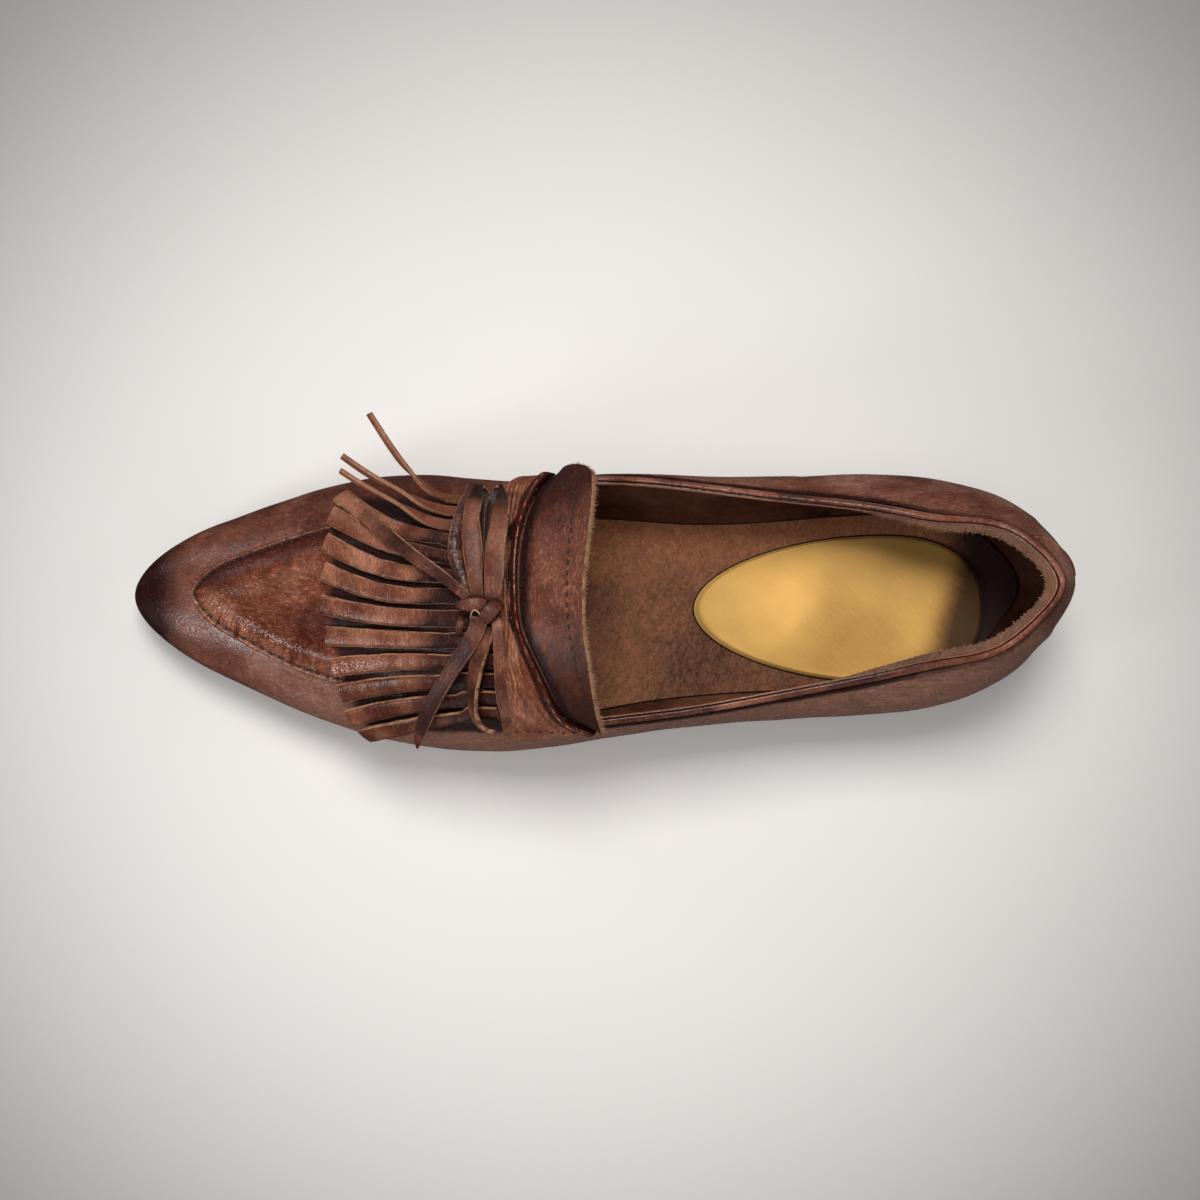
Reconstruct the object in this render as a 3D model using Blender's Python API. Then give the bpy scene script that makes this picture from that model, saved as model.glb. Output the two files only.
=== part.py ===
"""Left tassel loafer: pointed toe, lapped apron, saddle with a standing tongue, fringe and knotted bow.

Sizes are in millimetres and become metres where a mesh is made. X runs from the heel to the toe, Y to the
outer (lateral) side of a left foot and Z up. The origin is on the floor, under the middle of the heel.

The last is one function, skin(column, girth, grow). A column is a place round the widest line of the shoe,
a girth is a place up its wall, and grow moves the surface out or in. Every leather piece lies between two
such skins, so all of them share the true shape of the last.
"""

from collections import namedtuple

import bmesh
import bpy
import numpy as np
from mathutils.kdtree import KDTree

MM = 0.001
GAP = 0.3
WELD = 0.02

# Driving dimensions
LENGTH = 268.1
HEEL_REACH = 26.8
BALL_WIDTH = 80.0
INSTEP_HEIGHT = 64.0
HEEL_HEIGHT = 12.0
TOE_SPRING = 6.0
SOLE_THICK = 3.5
INSOLE_THICK = 2.0
UPPER_THICK = 2.0
LEATHER = 1.2

# Places along the shoe, from the origin towards the toe
THROAT_X = 112.0
SEAT_END_X = 38.0
TREAD_START_X = 112.0
TREAD_END_X = 160.0
TOE_X = LENGTH - HEEL_REACH
HEEL_BREAST_X = 34.0

# How the wall is shaped between the sole and its widest line, and how the collar takes over from the ridge
FOOT_CURVE = 1.7
COLLAR_BLEND = 18.0

# One row for each wall section, from the back of the heel along the lateral side to the toe and back along
# the medial side. along is the share of LENGTH, across the share of BALL_WIDTH and lean the share of LENGTH
# where the section meets the ridge. foot_in is how far the wall tucks in at the sole, wide_z the height of
# the widest line and full the fullness of the section (2 is an ellipse).
Wall = namedtuple("Wall", "along across lean foot_in wide_z full")
WALLS = [
    Wall(0.000, -0.019, 0.160, 8.0, 44.0, 1.7),
    Wall(0.018, 0.125, 0.160, 7.5, 43.0, 1.7),
    Wall(0.055, 0.281, 0.160, 6.5, 38.0, 1.7),
    Wall(0.122, 0.403, 0.163, 6.0, 32.0, 1.7),
    Wall(0.216, 0.451, 0.216, 5.5, 29.0, 1.7),
    Wall(0.342, 0.477, 0.342, 5.5, 28.0, 1.8),
    Wall(0.470, 0.524, 0.470, 5.0, 27.0, 2.25),
    Wall(0.599, 0.585, 0.599, 4.0, 23.0, 2.1),
    Wall(0.686, 0.565, 0.686, 4.0, 21.0, 2.1),
    Wall(0.752, 0.519, 0.752, 3.5, 19.0, 2.1),
    Wall(0.884, 0.344, 0.861, 3.0, 15.5, 2.2),
    Wall(0.965, 0.190, 0.891, 3.0, 14.0, 2.3),
    Wall(1.000, 0.021, 0.902, 3.0, 13.5, 2.3),
    Wall(0.965, -0.136, 0.891, 3.0, 14.0, 2.3),
    Wall(0.884, -0.264, 0.861, 3.0, 15.5, 2.2),
    Wall(0.752, -0.393, 0.752, 3.5, 20.0, 2.1),
    Wall(0.660, -0.406, 0.660, 4.5, 25.0, 2.1),
    Wall(0.575, -0.378, 0.575, 6.5, 36.0, 2.1),
    Wall(0.490, -0.396, 0.490, 8.5, 46.0, 2.25),
    Wall(0.398, -0.393, 0.398, 10.0, 42.0, 1.8),
    Wall(0.286, -0.398, 0.286, 9.5, 35.0, 1.7),
    Wall(0.193, -0.406, 0.193, 8.5, 31.0, 1.7),
    Wall(0.122, -0.380, 0.163, 8.0, 32.0, 1.7),
    Wall(0.055, -0.290, 0.160, 8.0, 38.0, 1.7),
    Wall(0.018, -0.163, 0.160, 8.0, 43.0, 1.7),
]
TIP_ROW = 12

# The ridge of the last: its place across and its height as a share of INSTEP_HEIGHT
Ridge = namedtuple("Ridge", "x y height")
RIDGE = [
    Ridge(10.0, 1.5, 1.03),
    Ridge(55.0, 3.0, 1.03),
    Ridge(105.0, 5.0, 1.02),
    Ridge(125.0, 5.6, 0.94),
    Ridge(143.0, 5.5, 0.85),
    Ridge(165.0, 4.6, 0.715),
    Ridge(190.0, 2.8, 0.555),
    Ridge(217.0, 1.2, 0.405),
]

# The collar line behind the throat: how far it leans in from the widest line, and its height
Collar = namedtuple("Collar", "x inset z")
COLLAR_LATERAL = [
    Collar(-HEEL_REACH, 6.6, 63.0),
    Collar(-10.0, 9.4, 59.5),
    Collar(8.0, 11.4, 53.5),
    Collar(30.0, 9.8, 49.0),
    Collar(57.0, 6.3, 47.2),
    Collar(82.0, 4.0, 47.0),
    Collar(THROAT_X, 4.8, 47.0),
]
COLLAR_MEDIAL = [
    Collar(-HEEL_REACH, 6.6, 63.0),
    Collar(-10.0, 9.0, 59.5),
    Collar(8.0, 10.8, 53.5),
    Collar(30.0, 8.6, 49.0),
    Collar(57.0, 4.8, 48.0),
    Collar(82.0, 1.9, 48.4),
    Collar(THROAT_X, 0.4, 48.8),
]

# Mesh resolution
FRONT_COLUMNS = 22
REAR_COLUMNS = 44
FOOT_ROWS = 4
WALL_ROWS = 4
CROWN_ROWS = 6
SOLE_STATIONS = 36
SOLE_ROWS = 4


def spline(knots, rows, closed=False):
    """A cubic through the rows with a smooth second derivative. The ends are free, or join when closed."""
    knots = np.asarray(knots, float)
    rows = np.asarray(rows, float).reshape(len(knots), -1)
    step = np.diff(knots)
    slope = np.diff(rows, axis=0) / step[:, None]
    system = np.eye(len(knots))
    right = np.zeros_like(rows)
    for i in range(1, len(knots) - 1):
        system[i, i - 1 : i + 2] = step[i - 1], 2 * (step[i - 1] + step[i]), step[i]
        right[i] = 6 * (slope[i] - slope[i - 1])
    if closed:
        system[0, -1] = -1
        system[-1, :2] = 2 * step[0], step[0]
        system[-1, -2:] = step[-1], 2 * step[-1]
        right[-1] = 6 * (slope[0] - slope[-1])
    bend = np.linalg.solve(system, right)

    def at(place):
        place = np.asarray(place, float)
        i = np.clip(np.searchsorted(knots, place, "right") - 1, 0, len(step) - 1)
        h = step[i][..., None]
        b = (place - knots[i])[..., None] / h
        a = 1 - b
        curve = (a**3 - a) * bend[i] + (b**3 - b) * bend[i + 1]
        return a * rows[i] + b * rows[i + 1] + curve * h**2 / 6

    return at


def smooth_step(low, high, value):
    """0 below low, 1 above high and a soft S between them."""
    t = np.clip((value - low) / (high - low), 0, 1)
    return t * t * (3 - 2 * t)


def wall_table():
    """The wall rows in millimetres, closed round, with the distance along the widest line as their knots."""
    rows = np.array(WALLS + WALLS[:1], float)
    rows[:, 0] = rows[:, 0] * LENGTH - HEEL_REACH
    rows[:, 1] *= BALL_WIDTH
    rows[:, 2] = rows[:, 2] * LENGTH - HEEL_REACH
    run = np.hypot(*np.diff(rows[:, :2], axis=0).T)
    return np.concatenate([[0], np.cumsum(run)]), rows


KNOTS, WALL_ROWS_MM = wall_table()
ROUND = KNOTS[-1]
TIP = KNOTS[TIP_ROW]
wall_at = spline(KNOTS, WALL_ROWS_MM, closed=True)
ridge_at = spline([r.x for r in RIDGE], [(r.y, r.height * INSTEP_HEIGHT) for r in RIDGE])
collar_lateral_at = spline([c.x for c in COLLAR_LATERAL], [c[1:] for c in COLLAR_LATERAL])
collar_medial_at = spline([c.x for c in COLLAR_MEDIAL], [c[1:] for c in COLLAR_MEDIAL])


def sole_top(x):
    """Height of the outsole's upper face: level heel seat, arch, level tread, then toe spring."""
    seat = HEEL_HEIGHT * (1 - smooth_step(SEAT_END_X, TREAD_START_X, x))
    spring = TOE_SPRING * (np.clip((x - TREAD_END_X) / (TOE_X - TREAD_END_X), 0, 1)) ** 2
    return SOLE_THICK + seat + spring


def section(column):
    """The wall section at each column, with its spine point, reach from the spine, and collar."""
    x, y, lean, foot_in, wide_z, full = np.moveaxis(wall_at(np.mod(column, ROUND)), -1, 0)
    spine_y, ridge_z = np.moveaxis(ridge_at(lean), -1, 0)
    slope = (ridge_at(lean + 1.0) - ridge_at(lean - 1.0))[..., 1] / 2
    reach = np.hypot(x - lean, y - spine_y)
    lateral = (np.mod(column, ROUND) < TIP)[..., None]
    behind = np.clip(x, -HEEL_REACH, THROAT_X)
    collar = np.where(lateral, collar_lateral_at(behind), collar_medial_at(behind))
    angle = np.arccos(np.clip(1 - collar[..., 0] / reach, 0, 1) ** (full / 2))
    closed_rise = ridge_z - wide_z
    open_rise = (collar[..., 1] - wide_z) / np.sin(angle) ** (2 / full)
    share = smooth_step(THROAT_X, THROAT_X - COLLAR_BLEND, x)
    return {
        "spine": np.stack([lean, spine_y], -1),
        "out": np.stack([x - lean, y - spine_y], -1) / reach[..., None],
        "reach": reach,
        "foot_in": foot_in,
        "foot_z": sole_top(x - foot_in) + GAP,
        "wide_z": wide_z,
        "full": full,
        "rise": share * open_rise + (1 - share) * closed_rise,
        "slope": np.where(x > THROAT_X, slope, 0),
        "collar": angle / (np.pi / 2),
    }


def skin(column, girth, grow=0.0):
    """Points of the last, moved out by grow. girth runs from -1 at the sole edge through 0 at the widest
    line to 1 at the ridge: a power curve below the widest line and a superellipse above it."""
    s = section(column)
    low = np.clip(-girth, 0, 1)
    turn = np.clip(girth, 0, 1) * np.pi / 2
    away = np.abs(np.cos(turn)) ** (2 / s["full"])
    up = np.sin(turn) ** (2 / s["full"])
    radius = (s["reach"] + grow) * away - s["foot_in"] * low**FOOT_CURVE
    plan = s["spine"] + s["out"] * radius[..., None]
    ahead = plan[..., 0] - s["spine"][..., 0]
    z = s["wide_z"] - (s["wide_z"] - s["foot_z"]) * low
    z = z + (s["rise"] + grow) * up + s["slope"] * ahead * up
    return np.concatenate([plan, z[..., None]], -1)


SEARCH = np.linspace(0, ROUND, 4001)
SEARCH_X, SEARCH_Y, SEARCH_LEAN = np.moveaxis(wall_at(SEARCH)[..., :3], -1, 0)
IN_FRONT = SEARCH_X > SEAT_END_X
LATERAL_FRONT = IN_FRONT & (SEARCH <= TIP)
MEDIAL_FRONT = IN_FRONT & (SEARCH >= TIP)


def column_at(lean, medial):
    """The column on one side whose section meets the ridge at lean."""
    if medial:
        return np.interp(lean, SEARCH_LEAN[MEDIAL_FRONT][::-1], SEARCH[MEDIAL_FRONT][::-1])
    return np.interp(lean, SEARCH_LEAN[LATERAL_FRONT], SEARCH[LATERAL_FRONT])


def vamp_point(x, y, lift):
    """A point lifted off the vamp above plan place (x, y), and the vamp's normal there."""

    def height(px, py):
        z = np.zeros(np.broadcast(px, py).shape)
        for medial in (False, True):
            s = section(column_at(px, medial))
            aside = (py - s["spine"][..., 1]) * (-1 if medial else 1)
            share = np.clip(aside / s["reach"], 0, 0.999)
            on_side = s["wide_z"] + s["rise"] * (1 - share ** s["full"]) ** (1 / s["full"])
            z = np.where(aside >= 0, on_side, z)
        return z

    x, y = np.broadcast_arrays(np.asarray(x, float), np.asarray(y, float))
    reach = 0.5
    dx = (height(x + reach, y) - height(x - reach, y)) / (2 * reach)
    dy = (height(x, y + reach) - height(x, y - reach)) / (2 * reach)
    normal = np.stack([-dx, -dy, np.ones_like(dx)], -1)
    normal /= np.linalg.norm(normal, axis=-1, keepdims=True)
    return np.stack([x, y, height(x, y)], -1) + normal * np.asarray(lift, float)[..., None], normal


def material(name, colour, roughness, metallic=0.0):
    made = bpy.data.materials.new(name)
    made.use_nodes = True
    shader = made.node_tree.nodes["Principled BSDF"]
    shader.inputs["Base Color"].default_value = (*colour, 1)
    shader.inputs["Roughness"].default_value = roughness
    shader.inputs["Metallic"].default_value = metallic
    return made


def grid_faces(columns, rows, start=0):
    """Quads of a grid of points stored column by column."""
    i, j = np.meshgrid(np.arange(columns - 1), np.arange(rows - 1), indexing="ij")
    first = (start + i * rows + j).ravel()
    return np.stack([first, first + rows, first + rows + 1, first + 1], -1).tolist()


def thick_sheet(name, outer, inner, faces, finish):
    """One closed solid between two skins with the same faces. Points that meet on the outer skin are
    welded on both, and every free edge gets a rim."""
    outer = np.asarray(outer, float).reshape(-1, 3)
    inner = np.asarray(inner, float).reshape(-1, 3)
    tree = KDTree(len(outer))
    for i, point in enumerate(outer):
        tree.insert(point, i)
    tree.balance()
    met = [min(i for _, i, _ in tree.find_range(point, WELD)) for point in outer]
    first, index = np.unique(met, return_inverse=True)
    count = len(first)
    kept = []
    for face in faces:
        welded = list(dict.fromkeys(int(index[corner]) for corner in face))
        if len(welded) > 2:
            kept.append(welded)
    edges = {(a, b) for face in kept for a, b in zip(face, face[1:] + face[:1])}
    rim = [(b, a, a + count, b + count) for a, b in edges if (b, a) not in edges]
    under = [[corner + count for corner in reversed(face)] for face in kept]
    mesh = bpy.data.meshes.new(name)
    points = np.concatenate([outer[first], inner[first]]) * MM
    mesh.from_pydata(points.tolist(), [], kept + under + sorted(rim))
    shell = bmesh.new()
    shell.from_mesh(mesh)
    bmesh.ops.recalc_face_normals(shell, faces=shell.faces)
    shell.to_mesh(mesh)
    shell.free()
    mesh.shade_smooth()
    mesh.set_sharp_from_angle(angle=np.radians(40))
    mesh.materials.append(finish)
    piece = bpy.data.objects.new(name, mesh)
    bpy.context.scene.collection.objects.link(piece)
    return piece


def front_columns(start_x, count):
    """Pairs of columns, lateral and medial, from start_x to the toe tip, that meet along the ridge."""
    lateral = np.linspace(column_at(start_x, False), TIP, count)
    lean = np.interp(lateral, SEARCH[LATERAL_FRONT], SEARCH_LEAN[LATERAL_FRONT])
    medial = column_at(lean, True)
    medial[-1] = TIP
    return lateral, medial


def spread(start, stop, count):
    """Rows from start to stop, each of which may differ from column to column."""
    share = np.linspace(0, 1, count + 1)[1:]
    start, stop = np.broadcast_arrays(np.asarray(start, float), np.asarray(stop, float))
    return start[:, None] + (stop - start)[:, None] * share


def wall_rows(column, top):
    """Girths from the sole edge through the widest line to top."""
    foot = np.broadcast_to(np.linspace(-1, 0, FOOT_ROWS + 1), (len(column), FOOT_ROWS + 1))
    return np.concatenate([foot, spread(np.zeros(len(column)), top, WALL_ROWS)], 1)


def make_upper(finish):
    """Vamp and quarters as one wall: closed over the toes, open at the collar and underneath."""
    toe_shoulder = 0.45
    lateral, medial = front_columns(THROAT_X, FRONT_COLUMNS + 1)
    columns, girths, faces = [], [], []
    for side in (lateral, medial):
        collar = section(side[:1])["collar"][0]
        shoulder = np.linspace(collar, toe_shoulder, len(side))
        rows = np.concatenate([wall_rows(side, shoulder), spread(shoulder, 1.0, CROWN_ROWS)], 1)
        columns.append(np.broadcast_to(side[:, None], rows.shape))
        girths.append(rows)
    rear = np.linspace(lateral[0], medial[0] - ROUND, REAR_COLUMNS + 1)
    rows = wall_rows(rear, section(rear)["collar"])
    columns.append(np.broadcast_to(rear[:, None], rows.shape))
    girths.append(rows)
    start = 0
    for reverse, rows in zip((False, True, True), girths):
        quads = grid_faces(*rows.shape, start)
        faces += [quad[::-1] for quad in quads] if reverse else quads
        start += rows.size
    column = np.concatenate([c.ravel() for c in columns])
    girth = np.concatenate([g.ravel() for g in girths])
    return thick_sheet("upper", skin(column, girth), skin(column, girth, -UPPER_THICK), faces, finish)


APRON_SEAM = [(0.50, 12.0), (0.66, 14.5), (0.86, 14.0), (0.94, 15.5), (1.00, 19.6)]
APRON_BACK_X = 137.0
APRON_COLUMNS = 24
APRON_ROWS = 5
seam_inset_at = spline(*zip(*APRON_SEAM))


def apron_seam(column):
    """Girth of the apron's seam, a set distance in from the widest line."""
    s = section(column)
    x = wall_at(np.mod(column, ROUND))[..., 0]
    inset = seam_inset_at((x + HEEL_REACH) / LENGTH)[..., 0]
    return np.arccos((1 - inset / s["reach"]) ** (s["full"] / 2)) / (np.pi / 2)


def make_apron(finish):
    """The plug of the moccasin toe, lapped over the vamp."""
    columns, girths, faces = [], [], []
    for reverse, side in zip((False, True), front_columns(APRON_BACK_X, APRON_COLUMNS + 1)):
        seam = apron_seam(side)
        rows = np.concatenate([seam[:, None], spread(seam, 1.0, APRON_ROWS)], 1)
        quads = grid_faces(*rows.shape, sum(g.size for g in girths))
        faces += [quad[::-1] for quad in quads] if reverse else quads
        columns.append(np.broadcast_to(side[:, None], rows.shape))
        girths.append(rows)
    column = np.concatenate([c.ravel() for c in columns])
    girth = np.concatenate([g.ravel() for g in girths])
    return thick_sheet("apron", skin(column, girth, GAP + LEATHER), skin(column, girth, GAP), faces, finish)


# Where the saddle and the tongue cross the vamp. across runs from -1 at the lateral end to 1 at the medial
# end. The tongue comes out from under the saddle's back edge, and its own free edge is tongue.
Crossing = namedtuple("Crossing", "across tongue back front")
CROSSINGS = [
    Crossing(-1.0, 104.6, 106.5, 131.0),
    Crossing(-0.6, 107.0, 119.0, 131.5),
    Crossing(-0.2, 109.2, 127.0, 132.5),
    Crossing(0.3, 108.8, 127.0, 132.5),
    Crossing(0.7, 107.6, 122.5, 132.0),
    Crossing(0.9, 107.2, 119.2, 131.3),
    Crossing(1.0, 109.4, 117.5, 131.0),
]
CROSSING_ENDS = (0.35, 0.03)
CROSSING_COLUMNS = 28
CROSSING_ROWS = 5
SADDLE_EDGE_ROLL = 0.9
TONGUE_CLEARANCE = 0.6
TONGUE_LIFT = 4.5
TONGUE_END_DROP = 0.55


def crossing_grid(back, front):
    """Columns and girths of a band over the vamp, from its lateral end over the ridge to its medial end,
    with the share across and the share from its back edge to its front edge."""
    across = np.linspace(-1, 1, CROSSING_COLUMNS + 1)[:, None]
    share = np.linspace(0, 1, CROSSING_ROWS + 1)[None, :]
    x = back[:, None] + (front - back)[:, None] * share
    across, share = np.broadcast_arrays(across, share)
    end = np.where(across < 0, *CROSSING_ENDS)
    girth = end + (1 - end) * (1 - np.abs(across))
    column = np.where(across > 0, column_at(x, True), column_at(x, False))
    return column, girth, across, share


def crossing_edges():
    """Free edge of the tongue, back edge and front edge of the saddle."""
    edges_at = spline([c.across for c in CROSSINGS], [c[1:] for c in CROSSINGS])
    return edges_at(np.linspace(-1, 1, CROSSING_COLUMNS + 1)).T


def make_saddle(finish):
    """The strap over the instep, with its back edge rolled."""
    _, back, front = crossing_edges()
    column, girth, _, share = crossing_grid(back, front)
    outer = GAP + LEATHER + SADDLE_EDGE_ROLL * (share == 0)
    faces = grid_faces(*column.shape)
    return thick_sheet("saddle", skin(column, girth, outer), skin(column, girth, GAP), faces, finish)


def make_tongue(finish):
    """The flap that comes from under the saddle and stands up over the throat."""
    free_edge, back, _ = crossing_edges()
    column, girth, across, share = crossing_grid(free_edge, back - TONGUE_CLEARANCE)
    stand = TONGUE_LIFT * (1 - share) ** 1.5 * (1 - TONGUE_END_DROP * across**4)
    faces = grid_faces(*column.shape)
    under = skin(column, girth, GAP + stand)
    return thick_sheet("tongue", skin(column, girth, GAP + LEATHER + stand), under, faces, finish)


def outline_at(x, inset, medial):
    """Place across of the widest line drawn in by inset, which adds to the foot tuck, on one side."""
    s = section(SEARCH)
    plan = s["spine"] + s["out"] * (s["reach"] - s["foot_in"] - inset)[:, None]
    side = SEARCH >= TIP if medial else SEARCH <= TIP
    order = np.argsort(plan[side, 0])
    return np.interp(x, plan[side, 0][order], plan[side, 1][order])


def outline_ends(inset):
    """Hindmost and foremost place of the drawn-in outline."""
    s = section(SEARCH)
    x = s["spine"][:, 0] + s["out"][:, 0] * (s["reach"] - s["foot_in"] - inset)
    return x.min(), x.max()


def sole_grid(back_x, front_x, inset, round_front=True):
    """Plan points between the two outlines, closer together where the ends are round."""
    turn = np.linspace(0, np.pi if round_front else np.pi / 2, SOLE_STATIONS + 1)
    share = (1 - np.cos(turn)) / (2 if round_front else 1)
    x = back_x + (front_x - back_x) * share
    low, high = outline_at(x, inset, True), outline_at(x, inset, False)
    closed = [0, -1] if round_front else [0]
    low[closed] = high[closed] = (low[closed] + high[closed]) / 2
    y = low[:, None] + (high - low)[:, None] * np.linspace(0, 1, SOLE_ROWS + 1)
    return np.broadcast_to(x[:, None], y.shape), y


SOLE_MARGIN = 1.6
INSOLE_CLEARANCE = UPPER_THICK + 0.5
HEEL_INSET = -0.8
HEEL_TAPER = 1.4


def make_outsole(finish):
    """Thin sole with a level heel seat, an arch, a level tread and toe spring."""
    back, front = outline_ends(-SOLE_MARGIN)
    x, y = sole_grid(back, front, -SOLE_MARGIN)
    top = np.stack([x, y, sole_top(x)], -1)
    under = np.stack([x, y, sole_top(x) - SOLE_THICK], -1)
    return thick_sheet("outsole", top, under, grid_faces(*x.shape), finish)


def make_insole(finish):
    """Sock that covers the inside of the sole."""
    back, front = outline_ends(INSOLE_CLEARANCE)
    x, y = sole_grid(back, front, INSOLE_CLEARANCE)
    under = np.stack([x, y, sole_top(x) + GAP], -1)
    return thick_sheet("insole", under + (0, 0, INSOLE_THICK), under, grid_faces(*x.shape), finish)


def make_heel(finish):
    """Low heel block, tapered a little towards the floor."""
    back, _ = outline_ends(HEEL_INSET)
    x, y = sole_grid(back, HEEL_BREAST_X, HEEL_INSET, round_front=False)
    middle = np.array([(back + HEEL_BREAST_X) / 2, 0.0])
    plan = np.stack([x, y], -1)
    reach = np.linalg.norm(plan - middle, axis=-1, keepdims=True)
    floor = middle + (plan - middle) * (1 - HEEL_TAPER / np.maximum(reach, HEEL_TAPER * 4))
    top = np.concatenate([plan, (sole_top(x) - SOLE_THICK - GAP)[..., None]], -1)
    under = np.concatenate([floor, np.zeros_like(x)[..., None]], -1)
    return thick_sheet("heel", top, under, grid_faces(*x.shape), finish)


PAD_BACK_X = -6.2
PAD_WIDE_X = 23.0
PAD_FRONT_X = 77.4
PAD_Y = 5.8
PAD_HALF_WIDTH = 21.2
PAD_THICK = 0.8
PAD_FRONT_FULL = 1.9
PAD_BACK_FULL = 2.4
PAD_STATIONS = 24


def make_heel_pad(finish):
    """Oval pad on the heel seat, blunt behind and drawn out in front."""
    turn = np.linspace(0, np.pi, PAD_STATIONS + 1)
    x = PAD_BACK_X + (PAD_FRONT_X - PAD_BACK_X) * (1 - np.cos(turn)) / 2
    ahead = x > PAD_WIDE_X
    length = np.where(ahead, PAD_FRONT_X - PAD_WIDE_X, PAD_WIDE_X - PAD_BACK_X)
    full = np.where(ahead, PAD_FRONT_FULL, PAD_BACK_FULL)
    share = np.clip(np.abs(x - PAD_WIDE_X) / length, 0, 1)
    half = PAD_HALF_WIDTH * (1 - share**full) ** (1 / full)
    y = PAD_Y + half[:, None] * np.linspace(-1, 1, SOLE_ROWS + 1)
    x = np.broadcast_to(x[:, None], y.shape)
    under = np.stack([x, y, sole_top(x) + INSOLE_THICK + 2 * GAP], -1)
    return thick_sheet("heel_pad", under + (0, 0, PAD_THICK), under, grid_faces(*x.shape), finish)


BINDING_RADIUS = 1.2
BINDING_SIDES = 6
BINDING_START_X = THROAT_X - 2.5


def make_binding(finish):
    """Bead along the collar, from the lateral end of the throat round the heel to the medial end."""
    lateral, medial = column_at(BINDING_START_X, False), column_at(BINDING_START_X, True)
    column = np.linspace(lateral, medial - ROUND, REAR_COLUMNS + 1)
    top = section(column)["collar"]
    edge, inside = skin(column, top), skin(column, top, -UPPER_THICK)
    middle = (edge + inside) / 2
    across = edge - inside
    across /= np.linalg.norm(across, axis=-1, keepdims=True)
    along = np.gradient(middle, axis=0)
    along /= np.linalg.norm(along, axis=-1, keepdims=True)
    rise = np.cross(across, along)
    rise *= np.sign(rise[:, 2:])
    centre = middle + rise * (BINDING_RADIUS + GAP)
    turn = np.linspace(0, 2 * np.pi, BINDING_SIDES + 1)[:, None]
    ring = across[:, None] * np.cos(turn) + rise[:, None] * np.sin(turn)
    return tube("collar_binding", centre[:, None] + ring * BINDING_RADIUS, finish)


def tube(name, rings, finish):
    """A closed tube through rings of points, whose first and last point of a ring meet."""
    count, sides = rings.shape[0], rings.shape[1] - 1
    points = rings[:, :sides].reshape(-1, 3) * MM
    faces = []
    for i in range(count - 1):
        for j in range(sides):
            k = (j + 1) % sides
            faces.append((i * sides + j, i * sides + k, (i + 1) * sides + k, (i + 1) * sides + j))
    faces.append(tuple(range(sides)))
    faces.append(tuple(range((count - 1) * sides, count * sides)))
    mesh = bpy.data.meshes.new(name)
    mesh.from_pydata(points.tolist(), [], faces)
    shell = bmesh.new()
    shell.from_mesh(mesh)
    bmesh.ops.recalc_face_normals(shell, faces=shell.faces)
    shell.to_mesh(mesh)
    shell.free()
    mesh.shade_smooth()
    mesh.materials.append(finish)
    piece = bpy.data.objects.new(name, mesh)
    bpy.context.scene.collection.objects.link(piece)
    return piece


# The fringe is one sheet: a band behind, and strips cut in it that fan out over the apron. It runs from
# the medial to the lateral side. tip_x and tip_y are where a strip ends, and bow how far it bends sideways.
FRINGE_ENDS = (0.42, 0.51)
FRINGE_BACK_X = 133.2
FRINGE_LIFT = 2.4
FRINGE_SLIT = 0.009
STRIP_TIP_WIDTH = 4.7
STRIP_STEPS = 7
STRIP_ARCH = 0.9
Strip = namedtuple("Strip", "root_x tip_x tip_y bow")
STRIPS = [
    Strip(147.5, 177.8, -25.0, 2.8),
    Strip(147.8, 180.0, -19.8, 2.0),
    Strip(147.6, 181.2, -12.4, 2.5),
    Strip(147.2, 181.4, -4.4, 2.2),
    Strip(146.6, 182.3, 4.4, 1.0),
    Strip(146.0, 180.8, 13.0, 0.0),
    Strip(145.2, 179.0, 21.4, -0.8),
    Strip(144.2, 177.0, 28.6, -1.2),
    Strip(143.0, 174.8, 35.2, -1.2),
    Strip(141.6, 171.4, 40.0, -0.8),
]
# The three strips at the medial end have curled off the vamp and stand on edge
Curl = namedtuple("Curl", "x y z turn")
CURL_ROOT_X = 147.6
CURL_WIDTH = 3.0
CURLS = [
    [
        Curl(152.6, -27.4, 49.8, 12.0),
        Curl(156.4, -31.2, 51.2, 50.0),
        Curl(160.8, -36.4, 52.4, 75.0),
        Curl(168.1, -47.7, 55.0, 85.0),
    ],
    [
        Curl(153.4, -23.2, 50.2, 15.0),
        Curl(159.0, -26.2, 49.6, 55.0),
        Curl(167.5, -30.6, 47.6, 75.0),
        Curl(176.4, -36.6, 47.8, 85.0),
    ],
    [
        Curl(153.6, -19.2, 50.6, 15.0),
        Curl(159.8, -22.8, 48.4, 55.0),
        Curl(168.4, -27.2, 44.8, 75.0),
        Curl(177.4, -32.8, 43.4, 85.0),
    ],
]


def unit(vector):
    return vector / np.linalg.norm(vector, axis=-1, keepdims=True)


def fringe_root(place, x):
    """Column and girth on the fringe's band: place runs from 0 at the medial end to 1 at the lateral end."""
    span = (1 - FRINGE_ENDS[0]) / (2 - sum(FRINGE_ENDS))
    medial = place < span
    girth = np.where(
        medial,
        FRINGE_ENDS[0] + (1 - FRINGE_ENDS[0]) * place / span,
        1 - (1 - FRINGE_ENDS[1]) * (place - span) / (1 - span),
    )
    return np.where(medial, column_at(x, True), column_at(x, False)), girth


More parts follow.
